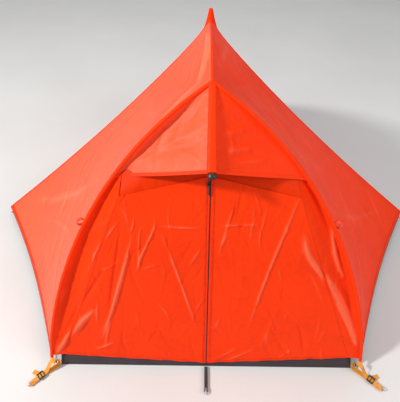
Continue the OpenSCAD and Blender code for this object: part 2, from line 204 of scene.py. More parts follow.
HEM_PROUD, HEM_THICK, STITCH_PROUD = 0.0011, 0.0012, 0.0019
HOOD_DIP = {"left": (0.017, 0.55), "right": (0.008, 0.2)}  # depth, and the share of it at the brow
HIGHLIGHT_FROM, HIGHLIGHT_SPAN = 0.0009, 0.0050  # fold heights over which the painted highlight on the crests comes in
LEAST_AREA = 0.31  # of its width by its length, that a tapered panel's cut is stated as
POLE_STEP = 0.02
PEAK_FOOT, PEAK_HEIGHT = -0.030, 0.094
PEAK_PROFILE = ((0, 0.030), (0.30, 0.0215), (0.50, 0.0165), (0.72, 0.0120), (0.88, 0.0092), (0.95, 0.0075),
                (0.985, 0.0045), (1, 0.001))  # share of the height, radius
PEAK_STITCHES = ((0.0185, 0.012), (0.0122, 0.038))  # radius, height above the spine

CORNERS = (("front", (0.655, -0.005), -45.5), ("rear", (0.440, 2.122), 63.25))  # place, and degrees outwards
SIDE_CORNER = (1.140, 0.900)
STRAP_WIDTH, LOOP_WIDTH = 0.020, 0.014
# webbing lines, in mm: distance out of the corner, height and, for the low one, sideways
CORNER_WEB = [(-16, 53), (-4, 53), (8, 47), (18, 34), (30, 18), (42, 11.6), (56, 11.4), (72, 11.4)]
PEG_EYE = [(86, 11.4), (98, 11.3), (108, 11.1), (112, 10), (113.4, 8.7), (112, 7.2), (108, 6.3), (90, 6.2),
           (60, 6.2), (34, 6.2)]
WEB_TAIL = [(14, 7.9), (22, 4), (32, 2), (46, 1.4)]
LOW_WEB = [(-30, 44, 15), (-25, 26, 13), (-14, 10, 9), (6, 4, 5), (28, 3.5, 2), (54, 4.2, 0)]
SIDE_WEB = [(-5, 49), (-14, 36), (-18, 24), (-15, 14), (-9, 11.6), (2, 11.3), (6, 11), (8.6, 9.9), (9.4, 8.7),
            (8.4, 7.3), (5, 6.4), (-8, 6.2), (-26, 6.2)]
CENTRE_WEB = [(4, 11), (40, 11.4), (80, 11.3), (102, 11.1), (107, 10), (108.6, 8.7), (107, 7.2), (102, 6.3),
              (80, 6.2), (40, 6.2), (20, 6.2)]

LIGHTS = (  # name, place, aim, size, watts, colour
    ("key", (-3.85, -2.05, 3.9), (0, 0, 0.4), 0.55, 262, (1.0, 0.98, 0.95)),
    ("fill", (3.6, -2.4, 3.2), (0, 0, 0.3), 3.0, 80, (1.0, 0.99, 0.97)),
    ("top", (0.4, 1.5, 5.0), (0, 0, 0.3), 3.0, 40, (0.97, 0.98, 1.0)))
CAMERA_AT = (-0.035, -0.693, 1.712)  # from the doors' line
CAMERA_TILT, CAMERA_ROLL, LENS = 45, 0.75, 35.1


# ---- the tent's lines and surfaces ----


def mix(a, b, t):
    t = np.asarray(t, float)[..., None]
    return a * (1 - t) + b * t


def bez2(a, b, c, t):
    return mix(mix(a, b, t), mix(b, c, t), t)


def bez3(a, b, c, d, t):
    return mix(bez2(a, b, c, t), bez2(b, c, d, t), t)


def unit(v):
    v = np.asarray(v, float)
    return v / np.maximum(np.linalg.norm(v, axis=-1, keepdims=True), 1e-12)


def turns(n):
    """Angles evenly round a full turn."""
    return np.linspace(0, 2 * math.pi, n, endpoint=False)


def leaned(x, z):
    """A point on the arch's plane."""
    return point(x, ARCH_LEAN * z - 0.004, z)


def door_y(z):
    """Where the doors' slope is at a height."""
    return DOOR_LEAN * z - 0.002


def arch(t):
    return bez3(leaned(0.660, 0.048), leaned(0.602, 0.460), leaned(0.382, 0.880), leaned(0, 1.103), t)


def spine(t):
    return bez3(point(0, 0.448, 1.103), point(0, 0.850, 1.190), point(0, 1.250, 1.090),
                point(0, 1.806, 0.432), t)


def rear_seam(t):
    return bez2(point(0, 1.806, 0.432), point(0.240, 1.950, 0.350), point(0.446, 2.142, 0.058), t)


PEAK = spine(PEAK_T)
HINGE_LOW = point(0.604, door_y(0.068), 0.068)
HINGE_HIGH = point(0.314, door_y(0.775), 0.775)
ZIP_FOOT = point(0, door_y(0.034), 0.034)
ZIP_UP = unit(point(0, DOOR_LEAN, 1))
ZIP_OUT = unit(point(0, -1, DOOR_LEAN))


def side_ridge(t):
    return bez2(PEAK, point(0.400, 0.950, 0.650), point(1.140, 0.900, 0.055), t)


def front_leg(t):
    return bez3(point(0.648, 0.016, 0.022), point(0.594, 0.206, 0.458), point(0.378, 0.372, 0.868),
                FRONT_HUB, t)


def ridge(t):
    return bez3(FRONT_HUB, point(0, 0.850, 1.170), point(0, 1.250, 1.072), REAR_HUB, t)


def rear_leg(t):
    return bez2(REAR_HUB, point(0.230, 1.935, 0.330), point(0.436, 2.124, 0.022), t)


def beak(t):
    return mix(FRONT_HUB, BEAK_END + point(0, 0.004, -0.014), t)


def front_edge(v):
    """The front side panel's edge: up the arch and along the spine to the peak."""
    v = np.asarray(v, float)
    along_spine = (v - ARCH_SHARE) / (1 - ARCH_SHARE) * PEAK_T
    return np.where(v[..., None] < ARCH_SHARE, arch(v / ARCH_SHARE), spine(along_spine))


def rear_edge(v):
    """The rear side panel's edge: up the rear seam and along the spine to the peak."""
    v = np.asarray(v, float)
    along_spine = 1 - (v - REAR_SHARE) / (1 - REAR_SHARE) * (1 - PEAK_T)
    return np.where(v[..., None] < REAR_SHARE, rear_seam(1 - v / REAR_SHARE), spine(along_spine))


def wave(x):
    """0 at both ends and 1 in the middle."""
    return np.sin(np.pi * np.asarray(x, float))[..., None]


def drawn_up(p):
    """Lifts the cloth towards the raised peak, close to it."""
    reach = np.linalg.norm(p - PEAK, axis=-1)
    lifted = p.copy()
    lifted[..., 2] += 0.024 * np.exp(-reach / 0.040)
    return lifted


def pushed(t, away, reach):
    """The forward push of the arch pole, from the place on the arch and the distance away from it."""
    ends = np.clip(np.asarray(t, float) / 0.10, 0, 1) * np.clip((1 - np.asarray(t, float)) / 0.12, 0, 1)
    return (STAND * ends * np.exp(-away / reach))[..., None] * FORWARD


def fly_front(u, v):
    edge = front_edge(v)
    flat = mix(edge, side_ridge(1 - v), u)
    flat = flat + pushed(np.minimum(v / ARCH_SHARE, 1), np.linalg.norm(flat - edge, axis=-1), 0.050)
    bow = 0.025 * wave(u) * ((1 - v) ** 2)[..., None] * point(-0.88, 0.48, 0)
    return drawn_up(flat + bow + 0.016 * wave(u) * wave(v) * point(-0.3, 0.5, -0.8))


def fly_rear(u, v):
    flat = mix(side_ridge(1 - v), rear_edge(v), u)
    bow = 0.035 * wave(u) * ((1 - v) ** 2)[..., None] * point(-0.87, -0.5, 0)
    return drawn_up(flat + bow + 0.016 * wave(u) * wave(v) * point(-0.5, -0.3, -0.8))


def fly_foot(u, v):
    p = rear_seam(0.03 + 0.97 * v)
    flat = mix(p, p * point(-1, 1, 1), u)
    return flat + 0.014 * wave(u) * wave(v) * point(0, -0.5, -0.5)


def hood(u, v):
    up_arch = 0.65 + 0.345 * v
    edge = arch(up_arch)
    flat = mix(mix(BEAK_END, spine(np.zeros_like(v)), v), edge, u)
    flat = flat + pushed(up_arch, np.linalg.norm(flat - edge, axis=-1), 0.030)
    return flat + 0.012 * wave(u) * wave(np.minimum(1, v + 0.2)) * point(0, 0.3, -0.7)


def hinge_line(t):
    return mix(HINGE_LOW, HINGE_HIGH, t)


def door(u, v):
    side = hinge_line(v)
    x = mix(point(DOOR_EDGE), side[..., :1] - 0.0008, u)[..., 0]
    low = 0.030 + (HINGE_LOW[2] - 0.030) * u
    high = 0.848 + (HINGE_HIGH[2] - 0.848) * u
    z = low + (high - low) * v
    return np.stack([x, door_y(z), z], -1) + 0.005 * wave(u) * wave(v) * FORWARD


def gusset(u, v):
    """From the hinge line out to the arch, dipping into a valley before it."""
    up_arch = 0.01 + 0.69 * v
    a = arch(up_arch)
    p = mix(hinge_line(v), a, u)
    drop = a[..., 1] - door_y(a[..., 2])
    p[..., 1] = door_y(p[..., 2]) + drop * u ** 2
    away = np.linalg.norm(a - hinge_line(v), axis=-1) * (1 - u)
    gap = away / VALLEY_WIDTH
    ease = np.clip(u / 0.45, 0, 1) ** 1.5 * np.clip((v - 0.08) * 3.5, 0, 1)
    clear = np.clip((away - 0.006) / 0.014, 0, 1)
    p[..., 1] += VALLEY * gap * np.exp(1 - gap) * ease * (0.55 + 0.45 * clear)
    return p + pushed(up_arch, away, 0.022) * np.clip(u / 0.3, 0, 1)[..., None]


def header(u, v):
    """From the doors' tops up to the arch, its end blended into the gusset's top edge."""
    behind = 0.003  # from the doors' slope
    a = arch(1 - 0.30 * u)
    x = a[..., 0]
    z = 0.842 - 0.235 * x
    low = np.stack([x, door_y(z) + behind, z], -1)
    high = a - np.stack([0 * u, 0.006 + 0 * u, 0.060 - 0.030 * u], -1)
    p = mix(low, high, v)
    p[..., 1] = door_y(p[..., 2]) + behind + (high[..., 1] - (door_y(high[..., 2]) + behind)) * v ** 2.5
    end = gusset(0.95 * v, 0.990 + 0 * v) + point(0, 0.0006, -0.0004)
    k = np.clip((u - 0.78) / 0.22, 0, 1)
    return mix(p, end, k * k * (3 - 2 * k))


def inner_wall(u, v):
    foot = mix(point(0.612, 0.072, RIM), point(0.398, 2.036, RIM), v)
    top = bez3(point(0.004, 0.450, 1.035), point(0.004, 0.850, 1.110),
               point(0.004, 1.240, 0.985), point(0.004, 1.735, 0.325), v)
    return bez3(foot, mix(point(0.556, 0.205, 0.470), point(0.300, 1.960, 0.160), v),
                mix(point(0.348, 0.372, 0.850), point(0.110, 1.815, 0.210), v), top, u)


def on_inner(x, z):
    """Points on the inner tent's front slope."""
    return np.stack([x, 0.070 + 0.378 / INNER_RISE * (z - RIM), z], -1)


def open_x(z):
    """Half-width of the inner door's opening."""
    return 0.360 - 0.22 * (z - 0.143) - 0.2 * (z - 0.143) ** 2


def wall_x(z):
    """Half-width of the inner tent's front."""
    return inner_wall(((z - RIM) / INNER_RISE) ** 1.02, np.zeros_like(z))[..., 0] - 0.008


# ---- folds in the cloth: (line of points, height in mm, half-width in mm) ----

# on the doors and gussets, points as (distance from the zip, height) in metres
DOOR_FOLDS_LEFT = [
    (((0.640, 0.065), (0.560, 0.180), (0.445, 0.310)), 7, 15),
    (((0.620, 0.115), (0.510, 0.310), (0.390, 0.485)), -4, 11),
    (((0.460, 0.460), (0.400, 0.580), (0.320, 0.685)), 3, 9),
    (((0.435, 0.150), (0.380, 0.300), (0.310, 0.515), (0.275, 0.640)), 4.5, 10),
    (((0.400, 0.255), (0.360, 0.455), (0.325, 0.615), (0.315, 0.680)), -3, 8),
    (((0.270, 0.475), (0.250, 0.545), (0.195, 0.665), (0.195, 0.710)), 3, 7),
    (((0.260, 0.485), (0.250, 0.640), (0.220, 0.670)), 2.2, 6),
    (((0.175, 0.655), (0.115, 0.470), (0.040, 0.215)), 3, 8),
    (((0.185, 0.670), (0.100, 0.664), (0.015, 0.660)), 2.2, 6),
    (((0.265, 0.700), (0.270, 0.670), (0.280, 0.640)), 2, 6),
    (((0.430, 0.350), (0.440, 0.285), (0.445, 0.220)), 2.2, 7),
    (((0.010, 0.375), (0.035, 0.325), (0.060, 0.270)), 1.8, 6),
    (((0.470, 0.100), (0.420, 0.120), (0.375, 0.145)), 2.4, 8),
    (((0.250, 0.495), (0.220, 0.505), (0.190, 0.515)), 2, 6),
    (((0.590, 0.300), (0.560, 0.420), (0.500, 0.540)), 3, 10),
]
DOOR_FOLDS_RIGHT = [
    (((0.310, 0.805), (0.280, 0.690), (0.220, 0.475), (0.165, 0.215)), 3, 8),
    (((0.335, 0.650), (0.370, 0.550), (0.460, 0.440), (0.555, 0.290), (0.635, 0.120)), 7, 14),
    (((0.440, 0.660), (0.480, 0.520), (0.530, 0.425)), 5, 10),
    (((0.500, 0.355), (0.570, 0.240), (0.620, 0.135)), 4, 9),
    (((0.370, 0.780), (0.390, 0.740), (0.410, 0.700)), 3, 8),
    (((0.090, 0.775), (0.060, 0.660), (0.035, 0.545)), 2, 6),
    (((0.155, 0.740), (0.150, 0.670), (0.145, 0.605)), 1.6, 6),
    (((0.200, 0.755), (0.180, 0.625), (0.195, 0.575)), 1.8, 6),
    (((0.025, 0.205), (0.040, 0.240), (0.055, 0.275)), 1.8, 6),
    (((0.075, 0.040), (0.140, 0.075), (0.210, 0.115)), 2.2, 7),
    (((0.030, 0.045), (0.080, 0.080), (0.130, 0.120)), 2, 7),
    (((0.310, 0.065), (0.335, 0.090), (0.360, 0.115)), 2, 7),
    (((0.365, 0.260), (0.395, 0.165), (0.415, 0.070)), -3, 9),
    (((0.025, 0.670), (0.100, 0.676), (0.175, 0.680)), 2.2, 6),
]
# on the other panels, points as shares of the way across and up the panel
SIDE_FOLDS = {
    "left": [
        (((0.16, 0.92), (0.10, 0.78), (0.01, 0.60)), 15, 24),
        (((0.26, 0.90), (0.19, 0.76), (0.08, 0.56)), -9, 18),
        (((0.98, 0.06), (0.60, 0.25), (0.10, 0.46)), 5, 20),
        (((0.03, 0.06), (0.30, 0.22), (0.80, 0.50)), 4, 18),
        (((0.10, 0.62), (0.35, 0.60), (0.75, 0.66)), 3, 16),
        (((0.06, 0.30), (0.35, 0.36), (0.62, 0.33)), -3, 15),
        (((0.12, 0.27), (0.25, 0.25), (0.42, 0.21), (0.62, 0.15)), 5, 8),
        (((0.22, 0.37), (0.30, 0.33), (0.28, 0.27)), 4, 7),
        (((0.42, 0.21), (0.36, 0.16), (0.30, 0.10)), 4, 8),
        (((0.05, 0.22), (0.16, 0.19), (0.26, 0.17)), -4, 8),
        (((0.50, 0.18), (0.58, 0.25), (0.70, 0.28)), 4, 9),
    ],
    "right": [
        (((0.95, 0.94), (0.55, 0.86), (0.05, 0.74)), 4, 24),
        (((0.98, 0.05), (0.55, 0.20), (0.08, 0.38)), 3, 20),
        (((0.03, 0.05), (0.35, 0.20), (0.85, 0.46)), 3, 18),
        (((0.93, 0.20), (0.84, 0.12), (0.74, 0.03)), 4, 8),
        (((0.55, 0.30), (0.48, 0.22), (0.50, 0.14)), 3, 9),
    ],
}
REAR_FOLDS = [
    (((0.03, 0.06), (0.45, 0.28), (0.95, 0.45)), 4, 20),
    (((0.97, 0.05), (0.55, 0.22), (0.06, 0.40)), 4, 20),
]
HOOD_FOLDS = {
    "left": [
        (((0.15, 0.30), (0.55, 0.28), (0.97, 0.20)), -7, 24),
        (((0.03, 0.55), (0.4, 0.42), (0.9, 0.12)), 4, 14),
        (((0.35, 0.05), (0.50, 0.35), (0.62, 0.60)), 3, 10),
        (((0.55, 0.06), (0.70, 0.30), (0.80, 0.55)), 3, 9),
        (((0.10, 0.08), (0.22, 0.20), (0.40, 0.26)), 2.5, 8),
    ],
    "right": [
        (((0.98, 0.60), (0.55, 0.50), (0.10, 0.42)), 3.5, 11),
        (((0.98, 0.50), (0.55, 0.32), (0.12, 0.24)), 3.5, 11),
        (((0.95, 0.30), (0.55, 0.18), (0.20, 0.12)), 3, 10),
        (((0.10, 0.70), (0.40, 0.66), (0.80, 0.72)), 2, 9),
        (((0.12, 0.10), (0.25, 0.28), (0.30, 0.50)), 2, 8),
    ],
}


def rounded_line(points, steps=4):
    """The same line with its corners eased, as a Catmull-Rom curve."""
    p = np.asarray(points, float)
    p = np.vstack([2 * p[0] - p[1], p, 2 * p[-1] - p[-2]])
    out = []
    for a, b, c, d in zip(p, p[1:], p[2:], p[3:]):
        for t in np.arange(steps) / steps:
            out.append(0.5 * (2 * b + (c - a) * t + (2 * a - 5 * b + 4 * c - d) * t * t
                              + (3 * b - a - 3 * c + d) * t ** 3))
    return np.array(out + [p[-2]])


def relief(points, folds):
    """How far the folds lift the cloth at each point, in metres."""
    total = np.zeros(points.shape[:-1])
    for line, height, width in folds:
        width = width / 1000
        reach = 3 * width
        inside = np.all((points > line.min(0) - reach) & (points < line.max(0) + reach), axis=-1)
        if not inside.any():
            continue
        local = points[inside]
        steps = np.linalg.norm(np.diff(line, axis=0), axis=1)
        starts = np.concatenate([[0], np.cumsum(steps)])
        near, along = np.full(len(local), 9.0), np.zeros(len(local))
        for a, b, start, step in zip(line, line[1:], starts, steps):
            t = np.clip(((local - a) @ (b - a)) / step ** 2, 0, 1)
            d = np.linalg.norm(local - a - t[:, None] * (b - a), axis=1)
            closer = d < near
            near[closer], along[closer] = d[closer], (start + t[closer] * step) / starts[-1]
        total[inside] += height / 1000 * np.exp(-(near / width) ** 1.5) * np.sin(np.pi * along) ** 0.7
    return total


def door_folds(left):
    """The doors' named folds and a scatter of fine ones, as lines on the doors' slope."""
    rng = np.random.default_rng(11 if left else 12)
    named = DOOR_FOLDS_LEFT if left else DOOR_FOLDS_RIGHT
    folds = [(rounded_line(line), height * 2.2, width * 0.72) for line, height, width in named]
    for _ in range(170):
        x, z = rng.uniform(0.03, 0.60), rng.uniform(0.06, 0.80)
        angle = rng.normal(1.75, 0.45)
        size = rng.uniform(0.03, 0.11)
        bend = rng.normal(0, 0.12) * size
        d = np.array([math.cos(angle), math.sin(angle)])
        line = np.array([(x, z) - d * size, (x, z) + d[::-1] * bend, (x, z) + d * size])
        folds.append((rounded_line(line), rng.normal(0, 1.3), rng.uniform(3.5, 8)))
    return [(np.insert(line, 1, 0, axis=1), height, width) for line, height, width in folds]


def scattered_folds(shape, seed, number, corners, height=1.5):
    """Fine folds that fan out of a panel's tight corners, and a few that lie across it."""
    rng = np.random.default_rng(seed)
    folds = []
    for k in range(number):
        cu, cv = corners[rng.integers(len(corners))]
        u, v = rng.uniform(0.05, 0.95), rng.uniform(0.05, 0.95)
        du, dv = (u - cu), (v - cv)
        if k % 4 == 0:
            du, dv = -dv, du
        size = rng.uniform(0.06, 0.22) / max(0.15, math.hypot(du, dv))
        t = np.array([-0.5, 0, 0.5]) * size
        uu = np.clip(u + du * t + rng.normal(0, 0.008, 3), 0.01, 0.99)
        vv = np.clip(v + dv * t + rng.normal(0, 0.008, 3), 0.01, 0.99)
        folds.append((rounded_line(shape(uu, vv)), rng.normal(0, height), rng.uniform(6, 14)))
    return folds


def fold_on(shape, uv, height, width):
    """A fold whose line is given as shares across and up a panel."""
    uv = np.asarray(uv, float)
    return rounded_line(shape(uv[:, 0], uv[:, 1])), height, width


# ---- mesh makers ----

def placed(p):
    """Points moved from the doors' line into the frame."""
    return np.asarray(p, float) + (0, BACK, 0)


def mirrored(g, left):
    return g * ((-1, 1, 1) if left else (1, 1, 1))


def face_out(g):
    """A grid's normals, on one of its two sides."""
    across, along = np.gradient(g, axis=0), np.gradient(g, axis=1)
    return unit(np.cross(across, along))


def linked(name, mesh):
    ob = bpy.data.objects.new(name, mesh)
    bpy.context.scene.collection.objects.link(ob)
    return ob


def new_mesh(name, verts, faces, uvs, finish, smooth=40):
    me = bpy.data.meshes.new(name)
    me.from_pydata(np.asarray(verts).tolist(), [], faces)
    me.uv_layers.new(name="UVMap").data.foreach_set("uv", np.asarray(uvs, np.float32).ravel())
    me.materials.append(FINISHES[finish])
    me.shade_smooth()
    me.set_sharp_from_angle(angle=math.radians(smooth))
    return linked(name, me)


def run_across(g):
    """The distance of each point of a grid from its row's first point, along the row."""
    steps = np.linalg.norm(np.diff(g, axis=1), axis=-1)
    return np.concatenate([np.zeros((len(g), 1)), np.cumsum(steps, axis=1)], 1)


def slabs(name, grids, finish, outwards, thick=0.0008, smooth=50, lift=None):
    """One mesh of closed cloth slabs, each over a grid of points, with its UV map in metres.

    Where lift is given, the crests of its folds are kept as an attribute for the finish's painted highlight."""
    verts, faces, uvs, start = [], [], [], 0
    for g in grids:
        n = face_out(g)
        if np.mean(np.sum(n * outwards, -1)) < 0:
            g = g[:, ::-1]
            n = face_out(g)
            lift = None if lift is None else lift[:, ::-1]
        r, c = g.shape[:2]
        ids = np.arange(r * c).reshape(r, c)
        low = ids + r * c
        ring = np.concatenate([ids[:, 0], ids[-1, 1:], ids[-2::-1, -1], ids[0, -2:0:-1]])
        after = np.roll(ring, -1)
        quads = np.concatenate([
            np.stack([ids[:-1, :-1], ids[1:, :-1], ids[1:, 1:], ids[:-1, 1:]], -1).reshape(-1, 4),
            np.stack([low[:-1, :-1], low[:-1, 1:], low[1:, 1:], low[1:, :-1]], -1).reshape(-1, 4),
            np.stack([after, ring, ring + r * c, after + r * c], -1)])
        across = run_across(g)
        along = run_across(g.swapaxes(0, 1)).T
        across = across - across[:, c // 2:c // 2 + 1]
        uv = np.stack([across, along], -1).reshape(-1, 2)
        uvs.append(np.concatenate([uv, uv])[quads].reshape(-1, 2))
        verts += [(g + n * thick / 2).reshape(-1, 3), (g - n * thick / 2).reshape(-1, 3)]
        faces += (quads + start).tolist()
        start += 2 * r * c
    ob = new_mesh(name, placed(np.concatenate(verts)), faces, np.concatenate(uvs), finish, smooth)
    if lift is not None:
        # where the folds' crests get their painted highlight
        crest = np.tile((np.clip((lift - HIGHLIGHT_FROM) / HIGHLIGHT_SPAN, 0, 1) ** 1.4).ravel(), 2)
        ob.data.attributes.new("crest", "FLOAT", "POINT").data.foreach_set("value", crest.astype(np.float32))
    return ob


def sweep(name, path, wide, high, section, finish, grow=None, closed=False, smooth=50):
    """A section carried along a path, its two directions given at each point; ends capped unless closed."""
    path, section = np.asarray(path, float), np.asarray(section, float)
    grow = np.ones(len(path)) if grow is None else np.asarray(grow, float)
    wide = np.broadcast_to(wide, path.shape)
    high = np.broadcast_to(high, path.shape)
    m, k = len(path), len(section)
    rings = (path[:, None] + wide[:, None] * (section[:, 0] * grow[:, None])[..., None]
             + high[:, None] * (section[:, 1] * grow[:, None])[..., None])
    along = np.concatenate([[0], np.cumsum(np.linalg.norm(np.diff(path, axis=0), axis=1))])
    sides = np.linalg.norm(np.diff(section, axis=0, append=section[:1]), axis=1)
    around = np.concatenate([[0], np.cumsum(sides)])
    faces, uvs = [], []
    total = along[-1] + (np.linalg.norm(path[0] - path[-1]) if closed else 0)
    for i in range(m if closed else m - 1):
        here, there = i * k, (i + 1) % m * k
        top = along[i + 1] if i + 1 < m else total
        for j in range(k):
            after = (j + 1) % k
            faces.append([here + j, there + j, there + after, here + after])
            uvs += [(around[j], along[i]), (around[j], top), (around[j + 1], top), (around[j + 1], along[i])]
    if not closed:
        for cap in (list(range(k)), list(range(m * k - 1, (m - 1) * k - 1, -1))):
            faces.append(cap)
            uvs += [tuple(section[v % k]) for v in cap]
    ob = new_mesh(name, placed(rings.reshape(-1, 3)), faces, uvs, finish, smooth)
    bm = bmesh.new()
    bm.from_mesh(ob.data)
    if bm.calc_volume(signed=True) < 0:
        bmesh.ops.reverse_faces(bm, faces=bm.faces)
    bm.to_mesh(ob.data)
    bm.free()
    return ob


def oval(half_w, half_h, k):
    a = turns(k)
    return np.stack([half_w * np.cos(a), half_h * np.sin(a)], 1)


def flat_bar(half_w, half_h, ease):
    """A rectangle with its corners eased, for webbing and tapes."""
    pts = []
    for cx, cy, a0 in ((1, 1, 0), (-1, 1, 90), (-1, -1, 180), (1, -1, 270)):
        for a in (0, 45, 90):
            t = math.radians(a0 + a)
            pts.append((cx * (half_w - ease) + ease * math.cos(t),
                        cy * (half_h - ease) + ease * math.sin(t)))
    return np.array(pts)


def frames(path, up):
    """Across and outward directions along a path, from a rough outward direction."""
    ahead = unit(np.gradient(np.asarray(path, float), axis=0))
    wide = unit(np.cross(ahead, np.broadcast_to(up, ahead.shape)))
    return wide, unit(np.cross(wide, ahead))


def spaced(curve, step, start=0.0, end=1.0):
    """Points along a curve of t, evenly spaced."""
    p = curve(np.linspace(start, end, 400))
    run = np.concatenate([[0], np.cumsum(np.linalg.norm(np.diff(p, axis=0), axis=1))])
    at = np.linspace(0, run[-1], max(4, int(run[-1] / step)))
    return np.stack([np.interp(at, run, p[:, k]) for k in range(3)], 1)


def grid(shape, rows, columns):
    """A surface's points, with the shares across (u) and up (v) that they stand at."""
    v, u = np.meshgrid(np.linspace(0, 1, rows), np.linspace(0, 1, columns), indexing="ij")
    return shape(u, v), u, v


def edge_fade(g, metres=0.020, sides="both"):
    """0 at a panel's left and right edges and 1 a little way in, so that its neighbours meet it."""
    first = run_across(g)
    last = first[:, -1:] - first
    near = {"first": first, "last": last, "both": np.minimum(first, last)}[sides]
    return np.clip(near / metres, 0, 1) ** 1.3


def cut_of(g):
    """Width, length and area that a panel was cut to."""
    width = np.linalg.norm(np.diff(g, axis=1), axis=-1).sum(1).max()
    length = np.linalg.norm(np.diff(g, axis=0), axis=-1).sum(0).max()
    area = np.linalg.norm(np.cross(g[1:, :-1] - g[:-1, :-1], g[:-1, 1:] - g[:-1, :-1]), axis=-1).sum()
    return round(float(width), 3), round(float(length), 3), round(float(area), 4)


def keep(ob, body, slot, *nodes):
    """Puts a piece on its body and in its slot, in place of any CAD nodes named."""
    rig.ride(ob, body)
    if nodes:
        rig.replaces(ob, *nodes)
    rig.slot(ob, slot)
    return ob


def declare(ob, g, held, rests_on, with_pieces=()):
    """States the cloth that a piece was cut from."""
    width, length, area = cut_of(g)
    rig.sheet(ob, flat=(width, length), held=held, rests_on=rests_on, with_pieces=list(with_pieces),
             area=min(area, width * length))


# ---- node trees ----

def new_tree(name, inputs):
    tree = bpy.data.node_groups.new(name, "GeometryNodeTree")
    tree.is_modifier = True
    tree.interface.new_socket("Geometry", in_out="INPUT", socket_type="NodeSocketGeometry")
    for label, kind, value in inputs:
        item = tree.interface.new_socket(label, in_out="INPUT", socket_type=kind)
        if value is not None:
            item.default_value = value
    tree.interface.new_socket("Geometry", in_out="OUTPUT", socket_type="NodeSocketGeometry")
    return tree, tree.nodes.new("NodeGroupInput"), tree.nodes.new("NodeGroupOutput")


def chain(tree, out, *steps):
    """Passes geometry through nodes in order; each step is (node, its input, its output)."""
    for node, enter, leave in steps:
        tree.links.new(out, node.inputs[enter])
        out = node.outputs[leave]
    return out


def run_tree():
    """Instances a small eased bar along a path: stitches, zip teeth."""
    tree, start, end = new_tree("Bars along a path", [
        ("Spacing", "NodeSocketFloat", 0.004), ("Bar length", "NodeSocketFloat", 0.0026),
        ("Bar radius", "NodeSocketFloat", 0.0005), ("Sides", "NodeSocketInt", 6),
        ("Across", "NodeSocketBool", False), ("Finish", "NodeSocketMaterial", None)])
    n, link = tree.nodes.new, tree.links.new
    curve, spots = n("GeometryNodeMeshToCurve"), n("GeometryNodeCurveToPoints")
    spots.mode = "LENGTH"
    link(start.outputs["Spacing"], spots.inputs["Length"])
    bar = n("GeometryNodeMeshCylinder")
    link(start.outputs["Bar radius"], bar.inputs["Radius"])
    link(start.outputs["Bar length"], bar.inputs["Depth"])
    link(start.outputs["Sides"], bar.inputs["Vertices"])
    turn = n("FunctionNodeRotateRotation")
    turn.rotation_space = "LOCAL"
    angle = n("GeometryNodeSwitch")
    angle.input_type = "VECTOR"
    angle.inputs["True"].default_value = (math.pi / 2, 0, 0)
    spin = n("FunctionNodeEulerToRotation")
    link(start.outputs["Across"], angle.inputs["Switch"])
    link(angle.outputs[0], spin.inputs[0])
    link(spots.outputs["Rotation"], turn.inputs["Rotation"])
    link(spin.outputs[0], turn.inputs["Rotate By"])
    put, real = n("GeometryNodeInstanceOnPoints"), n("GeometryNodeRealizeInstances")
    smooth, paint = n("GeometryNodeSetShadeSmooth"), n("GeometryNodeSetMaterial")
    link(bar.outputs["Mesh"], put.inputs["Instance"])
    link(turn.outputs["Rotation"], put.inputs["Rotation"])
    link(start.outputs["Finish"], paint.inputs["Material"])
    out = chain(tree, start.outputs["Geometry"], (curve, "Mesh", "Curve"), (spots, "Curve", "Points"),
                (put, "Points", "Instances"), (real, "Geometry", "Geometry"),
                (smooth, "Geometry", "Geometry"), (paint, "Geometry", "Geometry"))
    link(out, end.inputs["Geometry"])
    return tree


def tube_tree():
    """A round capped tube along a path, for the poles."""
    tree, start, end = new_tree("Tube along a path", [
        ("Radius", "NodeSocketFloat", 0.00425), ("Sides", "NodeSocketInt", 20),
        ("Finish", "NodeSocketMaterial", None)])
    n, link = tree.nodes.new, tree.links.new
    curve, ring = n("GeometryNodeMeshToCurve"), n("GeometryNodeCurvePrimitiveCircle")
    tube = n("GeometryNodeCurveToMesh")
    tube.inputs["Fill Caps"].default_value = True
    link(start.outputs["Radius"], ring.inputs["Radius"])
    link(start.outputs["Sides"], ring.inputs["Resolution"])
    link(ring.outputs["Curve"], tube.inputs["Profile Curve"])
    real, paint = n("GeometryNodeRealizeInstances"), n("GeometryNodeSetMaterial")
    link(start.outputs["Finish"], paint.inputs["Material"])
    out = chain(tree, start.outputs["Geometry"], (curve, "Mesh", "Curve"), (tube, "Curve", "Mesh"),
                (real, "Geometry", "Geometry"), (paint, "Geometry", "Geometry"))
    link(out, end.inputs["Geometry"])
    return tree


def made_plain(ob):
    """Turns a piece with its modifiers into a plain mesh."""
    graph = bpy.context.evaluated_depsgraph_get()
    made = bpy.data.meshes.new_from_object(ob.evaluated_get(graph), depsgraph=graph)
    ob.modifiers.clear()
    ob.data = made
    made.name = ob.name


def grown(name, tree, paths, body, slot, nodes=(), smooth=40, **values):
    """Runs a tree on one or more open paths and keeps the result as a plain mesh on one body."""
    verts, edges = [], []
    for p in paths:
        edges += [(len(verts) + i, len(verts) + i + 1) for i in range(len(p) - 1)]
        verts += placed(p).tolist()
    me = bpy.data.meshes.new(name)
    me.from_pydata(verts, edges, [])
    ob = linked(name, me)
    mod = ob.modifiers.new("Grow", "NODES")
    mod.node_group = bpy.data.node_groups[tree]
    for item in mod.node_group.interface.items_tree:
        key = item.name.lower().replace(" ", "_")
        if item.in_out == "INPUT" and key in values:
            mod[item.identifier] = FINISHES[values[key]] if key == "finish" else values[key]
    made_plain(ob)
    ob.data.shade_smooth()
    ob.data.set_sharp_from_angle(angle=math.radians(smooth))
    return keep(ob, body, slot, *nodes)


def stitched(name, lines, body, finish="thread", slot="fly_fabric"):
    sizes = bpy.context.scene.tent_sizes
    return grown(name, "Bars along a path", lines, body, slot, spacing=sizes.stitch_spacing,
                 bar_length=sizes.stitch_spacing * 0.62, bar_radius=0.00045, sides=5, finish=finish)


# ---- finishes ----

